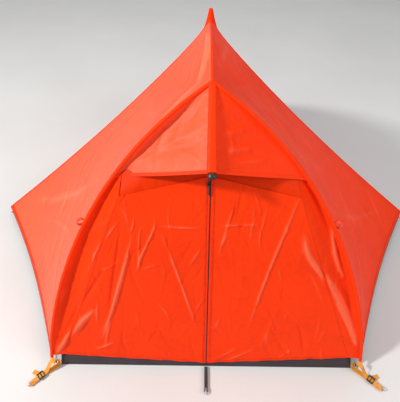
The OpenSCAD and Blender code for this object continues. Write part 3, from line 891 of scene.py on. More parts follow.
class Finish:
    """A procedural material on one Principled shader, written as short calls."""

    def __init__(self, key, **shader):
        self.mat = bpy.data.materials.new(key)
        self.mat.use_nodes = True
        self.tree = self.mat.node_tree
        self.shader = next(n for n in self.tree.nodes if n.type == "BSDF_PRINCIPLED")
        for socket, value in shader.items():
            self.shader.inputs[socket.replace("_", " ")].default_value = value
        self.coords = self.tree.nodes.new("ShaderNodeTexCoord")
        self.height = None
        FINISHES[key] = self.mat

    def node(self, kind, settings=(), **inputs):
        """A shader node; inputs go by name, or by number as _0, and take a value or another node's output."""
        n = self.tree.nodes.new(kind)
        for k, v in dict(settings).items():
            setattr(n, k, v)
        for k, v in inputs.items():
            socket = n.inputs[int(k[1:])] if k[0] == "_" else n.inputs[k.replace("_", " ")]
            if isinstance(v, bpy.types.NodeSocket):
                self.tree.links.new(v, socket)
            else:
                socket.default_value = v
        return n

    def at(self, scale=(1, 1, 1), where="Object"):
        return self.node("ShaderNodeMapping", Vector=self.coords.outputs[where], Scale=scale).outputs[0]

    def noise(self, scale, stretch=(1, 1, 1), detail=2.0, where="Object", rough=0.5):
        return self.node("ShaderNodeTexNoise", Vector=self.at(stretch, where), Scale=scale, Detail=detail,
                         Roughness=rough).outputs["Fac"]

    def maths(self, how, a, b):
        return self.node("ShaderNodeMath", {"operation": how}, _0=a, _1=b).outputs[0]

    def waves(self, per_metre, axis, where="UV"):
        """Ridges across an axis, so many to the metre; the node makes 3.183 of them for a scale of 1."""
        shape = {"wave_type": "BANDS", "bands_direction": axis, "wave_profile": "SIN"}
        return self.node("ShaderNodeTexWave", shape, Vector=self.coords.outputs[where],
                         Scale=per_metre / 3.183).outputs["Fac"]

    def weave(self, per_metre, where="UV"):
        """Threads that cross, so many to the metre."""
        return self.maths("MULTIPLY", self.waves(per_metre, "X", where), self.waves(per_metre, "Y", where))

    def bump(self, height, metres, strength=1.0):
        """Adds relief so many metres deep, on top of any before it."""
        b = self.node("ShaderNodeBump", Height=height, Distance=metres, Strength=strength)
        if self.height is not None:
            self.tree.links.new(self.height, b.inputs["Normal"])
        self.height = b.outputs[0]
        self.tree.links.new(self.height, self.shader.inputs["Normal"])
        return self

    def colours(self, factor, *stops):
        """Colours the piece through stops of (place, colour)."""
        r = self.node("ShaderNodeValToRGB", _0=factor)
        while len(r.color_ramp.elements) < len(stops):
            r.color_ramp.elements.new(0.5)
        for e, (place, colour) in zip(r.color_ramp.elements, stops):
            e.position, e.color = place, (*colour, 1)
        self.tree.links.new(r.outputs[0], self.shader.inputs["Base Color"])
        return self

    def paint_crest_highlight(self, colour, most):
        """Paints a highlight on the crests of the folds, from the mesh's own attribute."""
        # painted highlight: crests pale towards a light orange
        crest = self.node("ShaderNodeAttribute", {"attribute_name": "crest"}).outputs["Fac"]
        base = self.shader.inputs["Base Color"]
        blend = self.node("ShaderNodeMix", {"data_type": "RGBA"}, _0=self.maths("MULTIPLY", crest, most),
                          _6=base.links[0].from_socket, _7=(*colour, 1))
        self.tree.links.new(blend.outputs[2], base)
        return self

    def gloss(self, factor, low, high):
        """Lets the roughness vary between two values."""
        m = self.node("ShaderNodeMapRange", _0=factor, _3=low, _4=high)
        self.tree.links.new(m.outputs[0], self.shader.inputs["Roughness"])
        return self


def shade(colour, k, warm=0.0):
    """A colour made darker or lighter, and warmer."""
    return tuple(max(0.0, min(1.0, c * k + w)) for c, w in zip(colour, (warm, warm * 0.4, 0)))


def fly_finish(key, colour, sheen, specular):
    """Crinkled coated cloth, with a painted highlight along the crests of its folds."""
    f = Finish(key, Sheen_Weight=sheen, Sheen_Roughness=0.5, Specular_IOR_Level=specular)
    broad, fine = f.maths("MULTIPLY", f.noise(5, detail=3), 0.7), f.maths("MULTIPLY", f.noise(60), 0.3)
    tone = f.maths("ADD", broad, fine)
    f.colours(tone, (0.25, shade(colour, 0.86)), (0.5, tuple(colour)), (0.8, shade(colour, 1.05, 0.006)))
    # painted highlight: the fold crests are tinted paler orange
    f.paint_crest_highlight((1.0, 0.30, 0.16), 0.33).gloss(f.noise(14), 0.38, 0.54)
    f.bump(f.noise(26, detail=4, rough=0.62), 0.0035, 0.55)
    f.bump(f.noise(110, detail=3), 0.0006, 0.55)
    f.bump(f.weave(900), 0.00012, 0.5)


def fly_finishes(c):
    fly_finish("fly_cloth", c.fly, 0.0, 0.07)
    # the left side's cloth is painted paler and given more sheen: painted glare where the key light falls
    fly_finish("sunlit_cloth", mix(np.array(c.fly), point(1, 0.62, 0.28), 0.085), 0.06, 0.20)
    # the header's cloth is painted darker: painted shade under the hood
    fly_finish("shaded_cloth", shade(c.fly, 0.80), 0.0, 0.04)
    f = Finish("seam_cloth", Roughness=0.5, Specular_IOR_Level=0.1)
    f.colours(f.noise(30), (0.3, shade(c.fly, 0.78)), (0.7, shade(c.fly, 0.98)))
    f.bump(f.noise(120, detail=3), 0.0012, 0.7)
    f.bump(f.noise(1400), 0.0002, 0.4)
    f = Finish("thread", Roughness=0.6)
    f.colours(f.noise(400), (0.3, shade(c.fly, 0.55)), (0.7, shade(c.fly, 0.80)))
    f.bump(f.noise(3000), 0.0001, 0.5)


def tub_finishes(c):
    f = Finish("tub_cloth", Specular_IOR_Level=0.5, Coat_Weight=0.15, Coat_Roughness=0.35)
    f.colours(f.noise(9, detail=3), (0.3, shade(c.tub, 0.75)), (0.7, shade(c.tub, 1.3)))
    f.gloss(f.noise(20), 0.34, 0.55)
    f.bump(f.noise(38, detail=4, rough=0.6), 0.003, 0.5)
    f.bump(f.weave(700), 0.00015, 0.5)
    f = Finish("tub_thread", Roughness=0.6)
    f.colours(f.noise(400), (0.3, shade(c.tub, 1.6)), (0.7, shade(c.tub, 2.6)))


def net_finish(c):
    f = Finish("net", Roughness=0.75, Sheen_Weight=0.2)
    holes = f.weave(420)
    f.colours(holes, (0.05, shade(c.net, 0.62)), (0.55, tuple(c.net)))
    f.bump(holes, 0.0005, 0.8)
    f.bump(f.noise(18, detail=3), 0.004, 0.4)


def ribbed(f):
    """The cross ribs and edges of woven webbing."""
    f.bump(f.waves(700, "Y"), 0.0004, 0.8).bump(f.waves(450, "X"), 0.0003, 0.6)


def webbing_finishes(c):
    f = Finish("strap_webbing", Roughness=0.6, Sheen_Weight=0.25)
    tone = f.maths("ADD", f.maths("MULTIPLY", f.waves(700, "Y"), 0.3), f.maths("MULTIPLY", f.noise(60), 0.7))
    f.colours(tone, (0.2, shade(c.strap, 0.7)), (0.6, tuple(c.strap)), (0.95, shade(c.strap, 1.1, 0.03)))
    ribbed(f)
    f = Finish("black_webbing", Roughness=0.7, Sheen_Weight=0.3)
    f.colours(f.noise(80), (0.3, (0.012, 0.011, 0.012)), (0.7, (0.035, 0.032, 0.034)))
    ribbed(f)
    f = Finish("seam_web", Roughness=0.6, Sheen_Weight=0.2)
    f.colours(f.noise(80), (0.3, shade(c.fly, 0.8)), (0.7, shade(c.fly, 1.0)))
    ribbed(f)


def plastic_and_zip_finishes():
    f = Finish("moulded_black", Roughness=0.42)
    f.colours(f.noise(45, detail=3), (0.3, (0.010, 0.010, 0.011)), (0.75, (0.028, 0.027, 0.028)))
    f.gloss(f.noise(70), 0.34, 0.52).bump(f.noise(1800, detail=2), 0.00012, 0.5)
    f = Finish("zip_cloth", Roughness=0.7)
    f.colours(f.noise(60), (0.3, (0.030, 0.017, 0.026)), (0.7, (0.065, 0.036, 0.052)))
    f.bump(f.waves(900, "Y"), 0.0002, 0.6)
    f = Finish("zip_coil", Roughness=0.35)
    f.colours(f.noise(200), (0.3, (0.035, 0.018, 0.028)), (0.7, (0.075, 0.042, 0.060)))
    f.bump(f.noise(2500), 0.0001, 0.4)


def frame_finishes():
    f = Finish("pole_alloy", Metallic=1.0)
    f.colours(f.noise(30, (1, 1, 0.2), 3), (0.3, (0.50, 0.51, 0.54)), (0.7, (0.68, 0.69, 0.72)))
    f.gloss(f.noise(220, (1, 1, 0.1), 3), 0.22, 0.42).bump(f.noise(900, (1, 1, 0.06)), 0.00005, 0.5)
    f = Finish("peg_alloy", Metallic=1.0)
    f.colours(f.noise(50, detail=3), (0.3, (0.52, 0.52, 0.53)), (0.7, (0.75, 0.75, 0.76)))
    f.gloss(f.noise(160, detail=4), 0.24, 0.5).bump(f.noise(500, detail=3), 0.0001, 0.6)
    f = Finish("shock_cord", Roughness=0.8)
    f.colours(f.waves(260, "DIAGONAL", "Object"), (0.4, (0.72, 0.70, 0.66)), (0.6, (0.85, 0.84, 0.80)))
    f.bump(f.waves(600, "DIAGONAL", "Object"), 0.0003, 0.6)


def floor_finish():
    f = Finish("pale_floor", Roughness=0.85)
    f.colours(f.noise(1.5, detail=3), (0.3, (0.66, 0.66, 0.65)), (0.7, (0.70, 0.70, 0.69)))
    f.bump(f.noise(300), 0.0003, 0.3)


def make_finishes():
    colours = bpy.context.scene.tent_colours
    for finishes in (fly_finishes, tub_finishes, net_finish, webbing_finishes):
        finishes(colours)
    plastic_and_zip_finishes()
    frame_finishes()
    floor_finish()
    run_tree()
    tube_tree()


# ---- the fly ----

def fly_piece(ob, *nodes):
    return keep(ob, ROOT, "fly_fabric", *nodes)


def outward(g, out):
    """A grid's normals, on the side that faces out."""
    n = face_out(g)
    return n * np.sign(np.mean(np.sum(n * out, -1)))


def sun_side(left):
    # the left hand, facing the key light, takes the cloth with painted glare
    return "sunlit_cloth" if left else "fly_cloth"


def side_panel(name, shape, left, folds, node, seed, outwards, rests_on, corners):
    """A taut side panel with its folds, doubled hem, stitches and a dark strip just below the hem's edge."""
    hand = "left" if left else "right"
    g, _, v = grid(shape, 190, 165)
    lift = relief(g, folds + scattered_folds(shape, seed, 110, corners))
    fade = edge_fade(g, 0.03) * np.clip((1 - v) * 14, 0, 1)
    g = mirrored(g + outward(g, outwards) * (lift * fade)[..., None], left)
    out = mirrored(np.array(outwards), left)
    ob = fly_piece(slabs(f"{name}_{hand}", [g], sun_side(left), out, lift=lift), f"{node}_{hand}")
    n = outward(g, out)
    hem = fly_piece(slabs(f"{name}_hem_{hand}", [g[:3] + n[:3] * HEM_PROUD], "seam_cloth", out, HEM_THICK))
    seams = [g[4:-8, k] + n[4:-8, k] * 0.0006 for k in (1, -2)]
    sewn = stitched(f"{name}_stitches_{hand}", [g[2, 2:-2] + n[2, 2:-2] * STITCH_PROUD, *seams], ROOT)
    # a dark strip swept along just outside and below the hem's edge
    wide, high = frames(g[0], out)
    dark_strip = sweep(f"{name}_binding_{hand}", g[0] + unit(g[0] - g[2]) * 0.0028, wide, high,
                  flat_bar(0.0034, 0.0009, 0.0004), "zip_cloth")
    declare(ob, g, "stretched", rests_on, [hem, sewn, fly_piece(dark_strip)])


def make_side_panels():
    for hand, left in HANDS:
        folds = [fold_on(fly_front, *fold) for fold in SIDE_FOLDS[hand]]
        side_panel("side_cloth", fly_front, left, folds, "fly_front", 21 if left else 22, (0.55, -0.6, 0.5),
                   [f"front_leg_{hand}", "ridge_pole"], [(1, 0), (0, 0), (0, 0.7)])


def make_rear_panels():
    folds = [fold_on(fly_rear, *fold) for fold in REAR_FOLDS]
    for hand, left in HANDS:
        side_panel("rear_cloth", fly_rear, left, folds, "fly_rear", 31 if left else 32, (0.6, 0.5, 0.6),
                   [f"rear_leg_{hand}", "ridge_pole"], [(0, 0), (1, 0), (1, 0.4)])
    make_foot_panel()


def make_foot_panel():
    """The short panel across the foot end, between the two rear legs."""
    out = (0, 0.8, 0.5)
    g, _, _ = grid(fly_foot, 60, 90)
    lift = relief(g, scattered_folds(fly_foot, 41, 60, [(0, 1), (1, 1)])) * edge_fade(g, 0.03)
    g = g + lift[..., None] * point(0, 0.75, 0.65)
    ob = fly_piece(slabs("foot_cloth", [g], "fly_cloth", out), "fly_foot")
    n = outward(g, (0, 1, 0))
    hem = fly_piece(slabs("foot_hem", [g[-4:] + n[-4:] * HEM_PROUD], "seam_cloth", out, HEM_THICK))
    sewn = stitched("foot_stitches", [g[-4, 2:-2] + n[-4, 2:-2] * 0.0018], ROOT)
    declare(ob, g, "stretched", ["rear_leg_left", "rear_leg_right"], [hem, sewn])


def hood_half(hand, left):
    """One side of the hood, which dips between the arch and the middle, with its brow hem."""
    g, u, v = grid(hood, 56, 84)
    folds = [fold_on(hood, *fold) for fold in HOOD_FOLDS[hand]]
    folds += scattered_folds(hood, 51 if left else 52, 55, [(1, 0), (1, 1)], 0.8)
    lift = relief(g, folds) * edge_fade(g, 0.025)
    gap = np.linalg.norm(g - g[:, -1:], axis=-1) / 0.034
    dip = gap * np.exp(1 - gap) * np.clip(u * 2.5, 0, 1) * np.clip((1 - v) * 2.2, 0, 1)
    deepest, at_brow = HOOD_DIP[hand]
    lift -= deepest * dip * np.clip(v * 3, at_brow, 1)
    g = mirrored(g + lift[..., None] * point(0, -0.82, 0.57), left)
    out = mirrored(point(0.3, -0.7, 0.7), left)
    ob = fly_piece(slabs(f"hood_cloth_{hand}", [g], sun_side(left), out, lift=lift), f"hood_{hand}")
    n = outward(g, out)
    brow = fly_piece(slabs(f"brow_hem_{hand}", [g[:3] + n[:3] * 0.0014], "fly_cloth", out, 0.0020))
    lines = [g[2, 2:-1] + n[2, 2:-1] * 0.0028, g[5:-3, -2] + n[5:-3, -2] * 0.0007]
    sewn = stitched(f"hood_stitches_{hand}", lines, ROOT)
    declare(ob, g, "stretched", ["beak_pole", "front_hub"], [brow, sewn])


def hood_sleeve():
    """The sleeve of cloth that the beak pole runs in, down the hood's middle."""
    t = np.linspace(0.02, 0.99, 60)
    path = mix(spine(0.0), BEAK_END, t) + point(0, -0.001, -0.001)
    wide, high = frames(path, (0, -0.6, 0.8))
    wobble = 1 + 0.03 * np.sin(t * 37) + 0.02 * np.sin(t * 71 + 1)
    fly_piece(sweep("hood_sleeve", path, wide, high, oval(0.0115, 0.0055, 20), "fly_cloth",
                    grow=(1 + 0.4 * t) * wobble))
    inner = slice(2, -2)
    beside = (0.0120 + 0.0045 * t[inner])[:, None]
    rows = [path[inner] + wide[inner] * s * beside + high[inner] * 0.0012 for s in (-1, 1)]
    stitched("hood_sleeve_stitches", rows, ROOT)


def make_hood():
    for hand, left in HANDS:
        hood_half(hand, left)
    hood_sleeve()
    keep(eased("hood_tip_cap", "hood_cap", 0.0012, "moulded_black"), ROOT, "black_plastic", "hood_tip_cap")


def front_cloth(shape, rows, columns, left):
    """A door or gusset with the front's folds worked out over it, so that the two meet at rest."""
    g, _, v = grid(shape, rows, columns)
    flat = g.copy()
    flat[..., 1] = 0
    return g, v, relief(flat, door_folds(left))


def down_door(g, x):
    """The line down a door at a given distance from the zip."""
    return np.array([[np.interp(x, abs(row[:, 0]), row[:, k]) for k in range(3)] for row in g])


def door_lift(g, lift, seed):
    """A door's folds with the zip's pucker and the hem's waves, flat where the slider and hinge need it."""
    near_zip = g[..., 0] - DOOR_EDGE
    rng = np.random.default_rng(seed)
    pucker = sum(np.sin(g[..., 2] * k + rng.uniform(0, 6)) for k in (95, 143, 211)) / 3
    lift = lift * np.clip(near_zip / 0.03, 0, 1) + 0.0020 * pucker * np.exp(-near_zip / 0.018)
    lift += 0.0018 * np.sin(g[..., 0] * 63 + 1) * np.exp(-(g[..., 2] - 0.03) / 0.03)
    lift *= np.clip((near_zip - SLIDER_ROOM) / 0.006, 0, 1) * edge_fade(g, HINGE_FADE, "last")
    return lift, lift + 0.0010 * np.exp(-near_zip / 0.03)


def make_doors():
    for hand, left in HANDS:
        body = f"door_{hand}"
        g, _, lift = front_cloth(door, 230, 165, left)
        lift, proud = door_lift(g, lift, 5 if left else 6)
        g = mirrored(g + proud[..., None] * FORWARD, left)
        ob = slabs(f"door_cloth_{hand}", [g], "fly_cloth", FORWARD, lift=lift)
        keep(ob, body, "fly_fabric", f"door_{hand}")
        hem = slabs(f"door_hem_{hand}", [g[:4, :-3] + FORWARD * HEM_PROUD], "seam_cloth", FORWARD, HEM_THICK)
        keep(hem, body, "fly_fabric")
        edge = np.stack([down_door(g, x) for x in ZIP_LIP], 1)
        lip = slabs(f"zip_lip_{hand}", [edge + FORWARD * 0.0012], "seam_cloth", FORWARD, 0.0014)
        keep(lip, body, "fly_fabric")
        lines = [g[3, 4:-4] + FORWARD * STITCH_PROUD, edge[4:-3, 1] + FORWARD * 0.0021]
        sewn = stitched(f"door_stitches_{hand}", lines, body)
        declare(ob, g, "stretched", [f"zip_tape_{hand}"], [hem, lip, sewn])


def make_gussets():
    for hand, left in HANDS:
        g, v, lift = front_cloth(gusset, 230, 40, left)
        lift = lift * edge_fade(g, 0.022, "last") * edge_fade(g, HINGE_FADE, "first")
        lift *= np.clip((1 - v) / 0.12, 0, 1)
        g = mirrored(g + lift[..., None] * FORWARD, left)
        ob = slabs(f"gusset_cloth_{hand}", [g], "fly_cloth", FORWARD, lift=lift)
        fly_piece(ob, f"door_gusset_{hand}")
        sewn = stitched(f"gusset_stitches_{hand}", [g[3:-3, -2] + FORWARD * 0.0007], ROOT)
        width, length, area = cut_of(g)
        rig.sheet(ob, flat=(width, length), held="stretched", rests_on=[f"front_leg_{hand}"],
                 with_pieces=[sewn], area=max(area, LEAST_AREA * width * length))
    make_header()


def make_header():
    """The band of cloth behind the hood, above the doors, in one piece with its two halves, painted darker as shade
    under the hood.
    """
    halves = []
    for _, left in HANDS:
        g, _, _ = grid(header, 14, 46)
        folds = scattered_folds(header, 61 if left else 62, 20, [(1, 0), (1, 1)])
        lift = relief(g, folds) * edge_fade(g, 0.02)
        halves.append(mirrored(g + lift[..., None] * FORWARD, left))
    ob = fly_piece(slabs("header_cloth", halves, "shaded_cloth", FORWARD), "door_header")
    width, length, area = cut_of(halves[0])
    width, area = 2 * width, 2 * area
    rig.sheet(ob, flat=(width, length), held="stretched", rests_on=["front_leg_left", "front_leg_right"],
             area=min(max(area, LEAST_AREA * width * length), width * length))


def make_peak():
    z = np.linspace(0, 1, 40)
    radius = np.interp(z, *np.transpose(PEAK_PROFILE))
    path = PEAK + np.stack([0 * z, 0 * z, PEAK_FOOT + z * PEAK_HEIGHT], 1)
    a = turns(28)
    gathers = 1 + 0.07 * np.cos(4 * a + 0.4) + 0.04 * np.cos(7 * a)
    star = gathers[:, None] * np.stack([np.cos(a), np.sin(a)], 1)
    fly_piece(sweep("peak_sock", path, (1, 0, 0), (0, 1, 0), star, "fly_cloth", grow=radius), "fly_peak")
    a = np.append(a, a[0])
    rings = [PEAK + np.stack([r * np.cos(a), r * np.sin(a), 0 * a + h], 1) for r, h in PEAK_STITCHES]
    stitched("peak_stitches", rings, ROOT)


def arch_front(t):
    """The arch where the pole pushes the cloth forward."""
    return arch(t) + pushed(t, 0 * np.asarray(t, float), 1.0)


def make_seams():
    for name, curve, start, up, half_w, half_h in (
            ("arch_seam", arch_front, 0.0, (0.5, -0.75, 0.45), 0.0072, 0.0056),
            ("side_ridge_seam", side_ridge, 0.03, (0.35, 0.0, 0.9), 0.0036, 0.0026),
            ("rear_seam_roll", rear_seam, 0.0, (0.3, 0.4, 0.85), 0.0050, 0.0040)):
        path = drawn_up(spaced(curve, 0.006, start))
        run = np.arange(len(path))
        grow = 1 + 0.05 * np.sin(run * 0.9) + 0.04 * np.sin(run * 0.37 + 1)
        wide, high = frames(path, up)
        section = oval(half_w, half_h, 14)
        for hand, left in HANDS:
            line, across, out = (mirrored(p, left) for p in (path, wide, high))
            fly_piece(sweep(f"{name}_{hand}", line, across, out, section, "fly_cloth", grow=grow))
    path = drawn_up(spaced(spine, 0.008))
    wide, high = frames(path, (0, 0.1, 1))
    fly_piece(sweep("spine_seam", path, wide, high, oval(0.0052, 0.0040, 12), "seam_cloth"))


# ---- the zip ----

def along_zip(x, out, low=0.0, high=0.857, n=2):
    return ZIP_FOOT + point(x, 0, 0) + ZIP_OUT * out + np.linspace(low, high, n)[:, None] * ZIP_UP


def make_zip():
    for hand, left in HANDS:
        s = -1 if left else 1
        tape = sweep(f"zip_band_{hand}", along_zip(s * 0.0050, 0, n=60), (1, 0, 0), ZIP_OUT,
                     flat_bar(0.0042, 0.0006, 0.0004), "zip_cloth")
        keep(tape, f"door_{hand}", "zip_black", f"zip_tape_{hand}")
        grown(f"zip_teeth_{hand}", "Bars along a path", [along_zip(s * 0.0014, 0.0007, 0.004, 0.853, 60)],
              f"door_{hand}", "zip_black", spacing=0.0021, bar_length=0.0028, bar_radius=0.00075, sides=6,
              across=True, finish="zip_coil")
    keep(eased("zip_slider", "slider_body", 0.0006, "moulded_black"), "zip_slider", "zip_black", "zip_slider")
    keep(eased("zip_pull", "slider_pull", 0.0006, "moulded_black"), "zip_pull", "zip_black", "zip_pull")


# ---- the frame ----

def eased(node, name, width, finish, segments=2, smooth=35, limit=32):
    """A copy of a CAD node with its edges eased and shaded smooth."""
    bm = bmesh.new()
    bm.from_mesh(frame["nodes"][node].data)
    bmesh.ops.remove_doubles(bm, verts=bm.verts, dist=1e-6)
    bmesh.ops.dissolve_limit(bm, angle_limit=math.radians(1), verts=bm.verts, edges=bm.edges)
    me = bpy.data.meshes.new(name)
    bm.to_mesh(me)
    bm.free()
    ob = linked(name, me)
    if width:
        mod = ob.modifiers.new("Ease", "BEVEL")
        mod.width, mod.segments, mod.limit_method = width, segments, "ANGLE"
        mod.angle_limit = math.radians(limit)
        made_plain(ob)
    paint(ob, finish)
    ob.data.shade_smooth()
    ob.data.set_sharp_from_angle(angle=math.radians(smooth))
    return ob


def paint(ob, finish):
    ob.data.materials.clear()
    ob.data.materials.append(FINISHES[finish])


def pole_tube(node, path):
    grown(f"{node}_tube", "Tube along a path", [path], ROOT, "pole_aluminium", [node],
          radius=bpy.context.scene.tent_sizes.pole_width / 2, sides=20, finish="pole_alloy")


def make_poles():
    for name, curve, start, end in (("front_leg", front_leg, 0.0, 0.988), ("rear_leg", rear_leg, 0.03, 1.0)):
        for hand, left in HANDS:
            pole_tube(f"{name}_{hand}", mirrored(spaced(curve, POLE_STEP, start, end), left))
    pole_tube("ridge_pole", spaced(ridge, POLE_STEP, 0.012, 0.988))
    pole_tube("beak_pole", spaced(beak, POLE_STEP, 0.045, 1.0))


def make_fittings():
    keep(eased("front_hub", "front_hub_block", 0.0012, "moulded_black"), ROOT, "black_plastic", "front_hub")
    keep(eased("rear_hub", "rear_hub_block", 0.0012, "moulded_black"), ROOT, "black_plastic", "rear_hub")
    keep(eased("pole_tips", "pole_tip_plugs", 0.0008, "moulded_black"), ROOT, "black_plastic", "pole_tips")
    for node, finish in (("pole_clips", "moulded_black"), ("pole_ferrules", "pole_alloy"),
                         ("shock_cords", "shock_cord")):
        paint(frame["nodes"][node], finish)


# ---- the tub floor ----

def tub_corners(z):
    """The tub's four corners at a height, in turn around it, on walls that lean in."""
    k = z / TUB_HEIGHT
    front_x, front_y = TUB_FRONT - 0.012 * k, 0.005 + 0.063 * k
    back_x, back_y = TUB_BACK - 0.012 * k, 2.105 - 0.060 * k
    return [point(-front_x, front_y, z), point(front_x, front_y, z), point(back_x, back_y, z),
            point(-back_x, back_y, z)]


def tub_walls():
    """The rippled walls, each as (grid of points, outward direction), from the front one round."""
    rng = np.random.default_rng(71)
    u, v = np.linspace(0, 1, 120)[None], np.linspace(0, 1, 16)[:, None]
    rings = [tub_corners(z) for z in np.linspace(0.0008, TUB_HEIGHT, 16)]
    walls = []
    for k in range(4):
        g = np.array([mix(ring[k], ring[(k + 1) % 4], u[0]) for ring in rings])
        ripple = 0.0009 * sum(rng.uniform(0.3, 1) * np.sin(
            u * rng.uniform(20, 90) + v * rng.uniform(-3, 3) + rng.uniform(0, 6)) for _ in range(6))
        g = g + face_out(g) * (ripple * np.sin(np.pi * u) ** 0.5 * np.sin(np.pi * v) ** 0.6)[..., None]
        walls.append((g, point(np.mean(g[..., 0]) * 2, np.mean(g[..., 1]) - 1.05, 0)))
    return walls


def tub_floor():
    """The grid of the tub's floor, with slight waves."""
    v, u = np.meshgrid(np.linspace(0, 1, 60), np.linspace(-1, 1, 40), indexing="ij")
    x = (TUB_FRONT + (TUB_BACK - TUB_FRONT) * v) * u
    waves = 0.0012 * (np.sin(x * 22 + 1) * np.sin(v * 41) + 1) * (1 - u ** 2) * np.sin(np.pi * v)
    return np.stack([x, 0.005 + 2.100 * v, 0.0010 + waves], -1)


def tub_piece(ob, *nodes):
    return keep(ob, ROOT, "tub_fabric", *nodes)


def make_tub():
    walls = tub_walls()
    sides = ("front", "right", "back", "left")
    parts = [slabs(f"tub_wall_{side}", [g], "tub_cloth", out) for side, (g, out) in zip(sides, walls)]
    base = tub_floor()
    floor = tub_piece(slabs("tub_base", [base], "tub_cloth", (0, 0, 1)), "floor_tub")
    for part in parts:
        tub_piece(part, "floor_tub")
    rims = []
    for side, (g, _) in zip(sides, walls):
        wide, high = frames(g[-1], (0, 0, 1))
        rim = sweep(f"tub_rim_{side}", g[-1], wide, high, oval(0.0022, 0.0035, 10), "tub_cloth")
        rims.append(tub_piece(rim))
    for corner, (g, _) in zip(("front_left", "front_right", "back_right", "back_left"), walls):
        wide, high = frames(g[:, 0], (1, 0, 0))
        tub_piece(sweep(f"tub_corner_{corner}", g[:, 0], wide, high, oval(0.0026, 0.0026, 10), "tub_cloth"))
    lines = [g[-2, 2:-2] + unit(out) * 0.0009 for g, out in walls]
    stitched("tub_stitches", lines, ROOT, "tub_thread", "tub_fabric")
    declare(floor, base, "laid", ["pale_floor"])
    for part, (g, _), rim in zip(parts, walls, rims):
        declare(part, g, "stretched", ["inner_net_left", "inner_net_right"], [rim])


# ---- the inner tent ----

def inner_side(hand, left):
    g, _, _ = grid(inner_wall, 90, 60)
    folds = scattered_folds(inner_wall, 81 if left else 82, 60, [(0, 0), (0, 1), (1, 0)])
    g = mirrored(g + (relief(g, folds) * edge_fade(g, 0.03))[..., None] * point(0.7, 0, 0.7), left)
    ob = slabs(f"inner_net_{hand}", [g], "net", mirrored(point(1, 0, 1), left))
    declare(keep(ob, ROOT, "inner_mesh", f"inner_wall_{hand}"), g, "hung", ["pole_clips"])


def inner_foot():
    p = inner_wall(np.linspace(0, 0.9, 30), np.ones(30)) + point(-0.004, 0.003, -0.001)
    g = mix(p[:, None], mirrored(p, True)[:, None], np.tile(np.linspace(0, 1, 40), (30, 1)))
    ob = keep(slabs("inner_foot_net", [g], "net", (0, 1, 0.4)), ROOT, "inner_mesh", "inner_foot")
    declare(ob, g, "hung", ["inner_net_left", "inner_net_right"])


def across_front(x, z):
    """A grid on the inner tent's front slope, from its sideways places and its heights."""
    return on_inner(x, np.broadcast_to(z[:, None], x.shape))


def inner_front(z):
    """The front net in four strips: beside the door on each hand, over it and under it."""
    span = np.linspace(0, 1, 30)
    beside = (open_x(z) + 0.006)[:, None] * (1 - span) + wall_x(z)[:, None] * span
    above, below = np.linspace(0.766, 0.985, 24), np.linspace(0.124, 0.137, 4)
    strips = [across_front(-beside, z), across_front(beside, z),
              across_front(wall_x(above)[:, None] * np.linspace(-1, 1, 50), above),
              across_front(np.tile(0.596 * np.linspace(-1, 1, 60), (4, 1)), below)]
    ob = keep(slabs("inner_front_net", strips, "net", (0, -1, 0.4)), ROOT, "inner_mesh", "inner_front")
    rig.sheet(ob, flat=(1.19, 0.87), held="hung", rests_on=["inner_net_left", "inner_net_right"],
             area=round(sum(cut_of(strip)[2] for strip in strips), 4))


def inner_door(z):
    """The dropping net door, a little slack, with the zip tape round its edge."""
    x = (open_x(z) - 0.001)[:, None] * np.linspace(-1, 1, 60)
    slack = np.sin(x * 25 + 0.6) * 0.0025 * np.sin(np.pi * (z - 0.143) / 0.617)[:, None]
    g = across_front(x, z) + slack[..., None] * FORWARD
    ob = keep(slabs("inner_door_net", [g], "net", (0, -1, 0.4)), "inner_door", "inner_mesh", "inner_door")
    loop = np.concatenate([g[:, 0], g[-1, 1:], g[-2::-1, -1]])
    wide, high = frames(loop, (0, -1, 0.4))
    tape = sweep("inner_door_zip", loop, wide, high, flat_bar(0.004, 0.0009, 0.0004), "zip_cloth")
    declare(ob, g, "hung", ["inner_front_net"], [keep(tape, "inner_door", "zip_black")])


def make_inner():
    for hand, left in HANDS:
        inner_side(hand, left)
    inner_foot()
    door_heights = np.linspace(0.143, 0.760, 60)
    inner_front(door_heights)
    inner_door(door_heights)


# ---- straps, buckles, pegs and loops ----

def station(at, turn, left, distance, across, z):
    """Points given as distance out, sideways and up from a corner, in place."""
    t = math.radians(turn)
    distance, across, z = np.broadcast_arrays(np.asarray(distance, float), across, z)
    x = at[0] + distance * math.cos(t) - across * math.sin(t)
    y = at[1] + distance * math.sin(t) + across * math.cos(t)
    return mirrored(np.stack([x, y, z], -1), left)


def webbing(name, at, turn, left, line, width, finish, thick=0.0015):
    """A flat strap along (distance, height) or (distance, height, sideways) points in mm, out of a corner."""
    line = rounded_line(np.array(line) / 1000, 6)
    path = station(at, turn, left, line[:, 0], line[:, 2] if line.shape[1] > 2 else 0.0, line[:, 1])
    t = math.radians(turn)
    wide = mirrored(point(-math.sin(t), math.cos(t), 0), left)
    ahead = unit(np.gradient(path, axis=0))
    high = unit(np.cross(ahead, np.broadcast_to(wide, ahead.shape)))
    return sweep(name, path, wide, high, flat_bar(width / 2, thick / 2, thick * 0.45), finish, smooth=60)


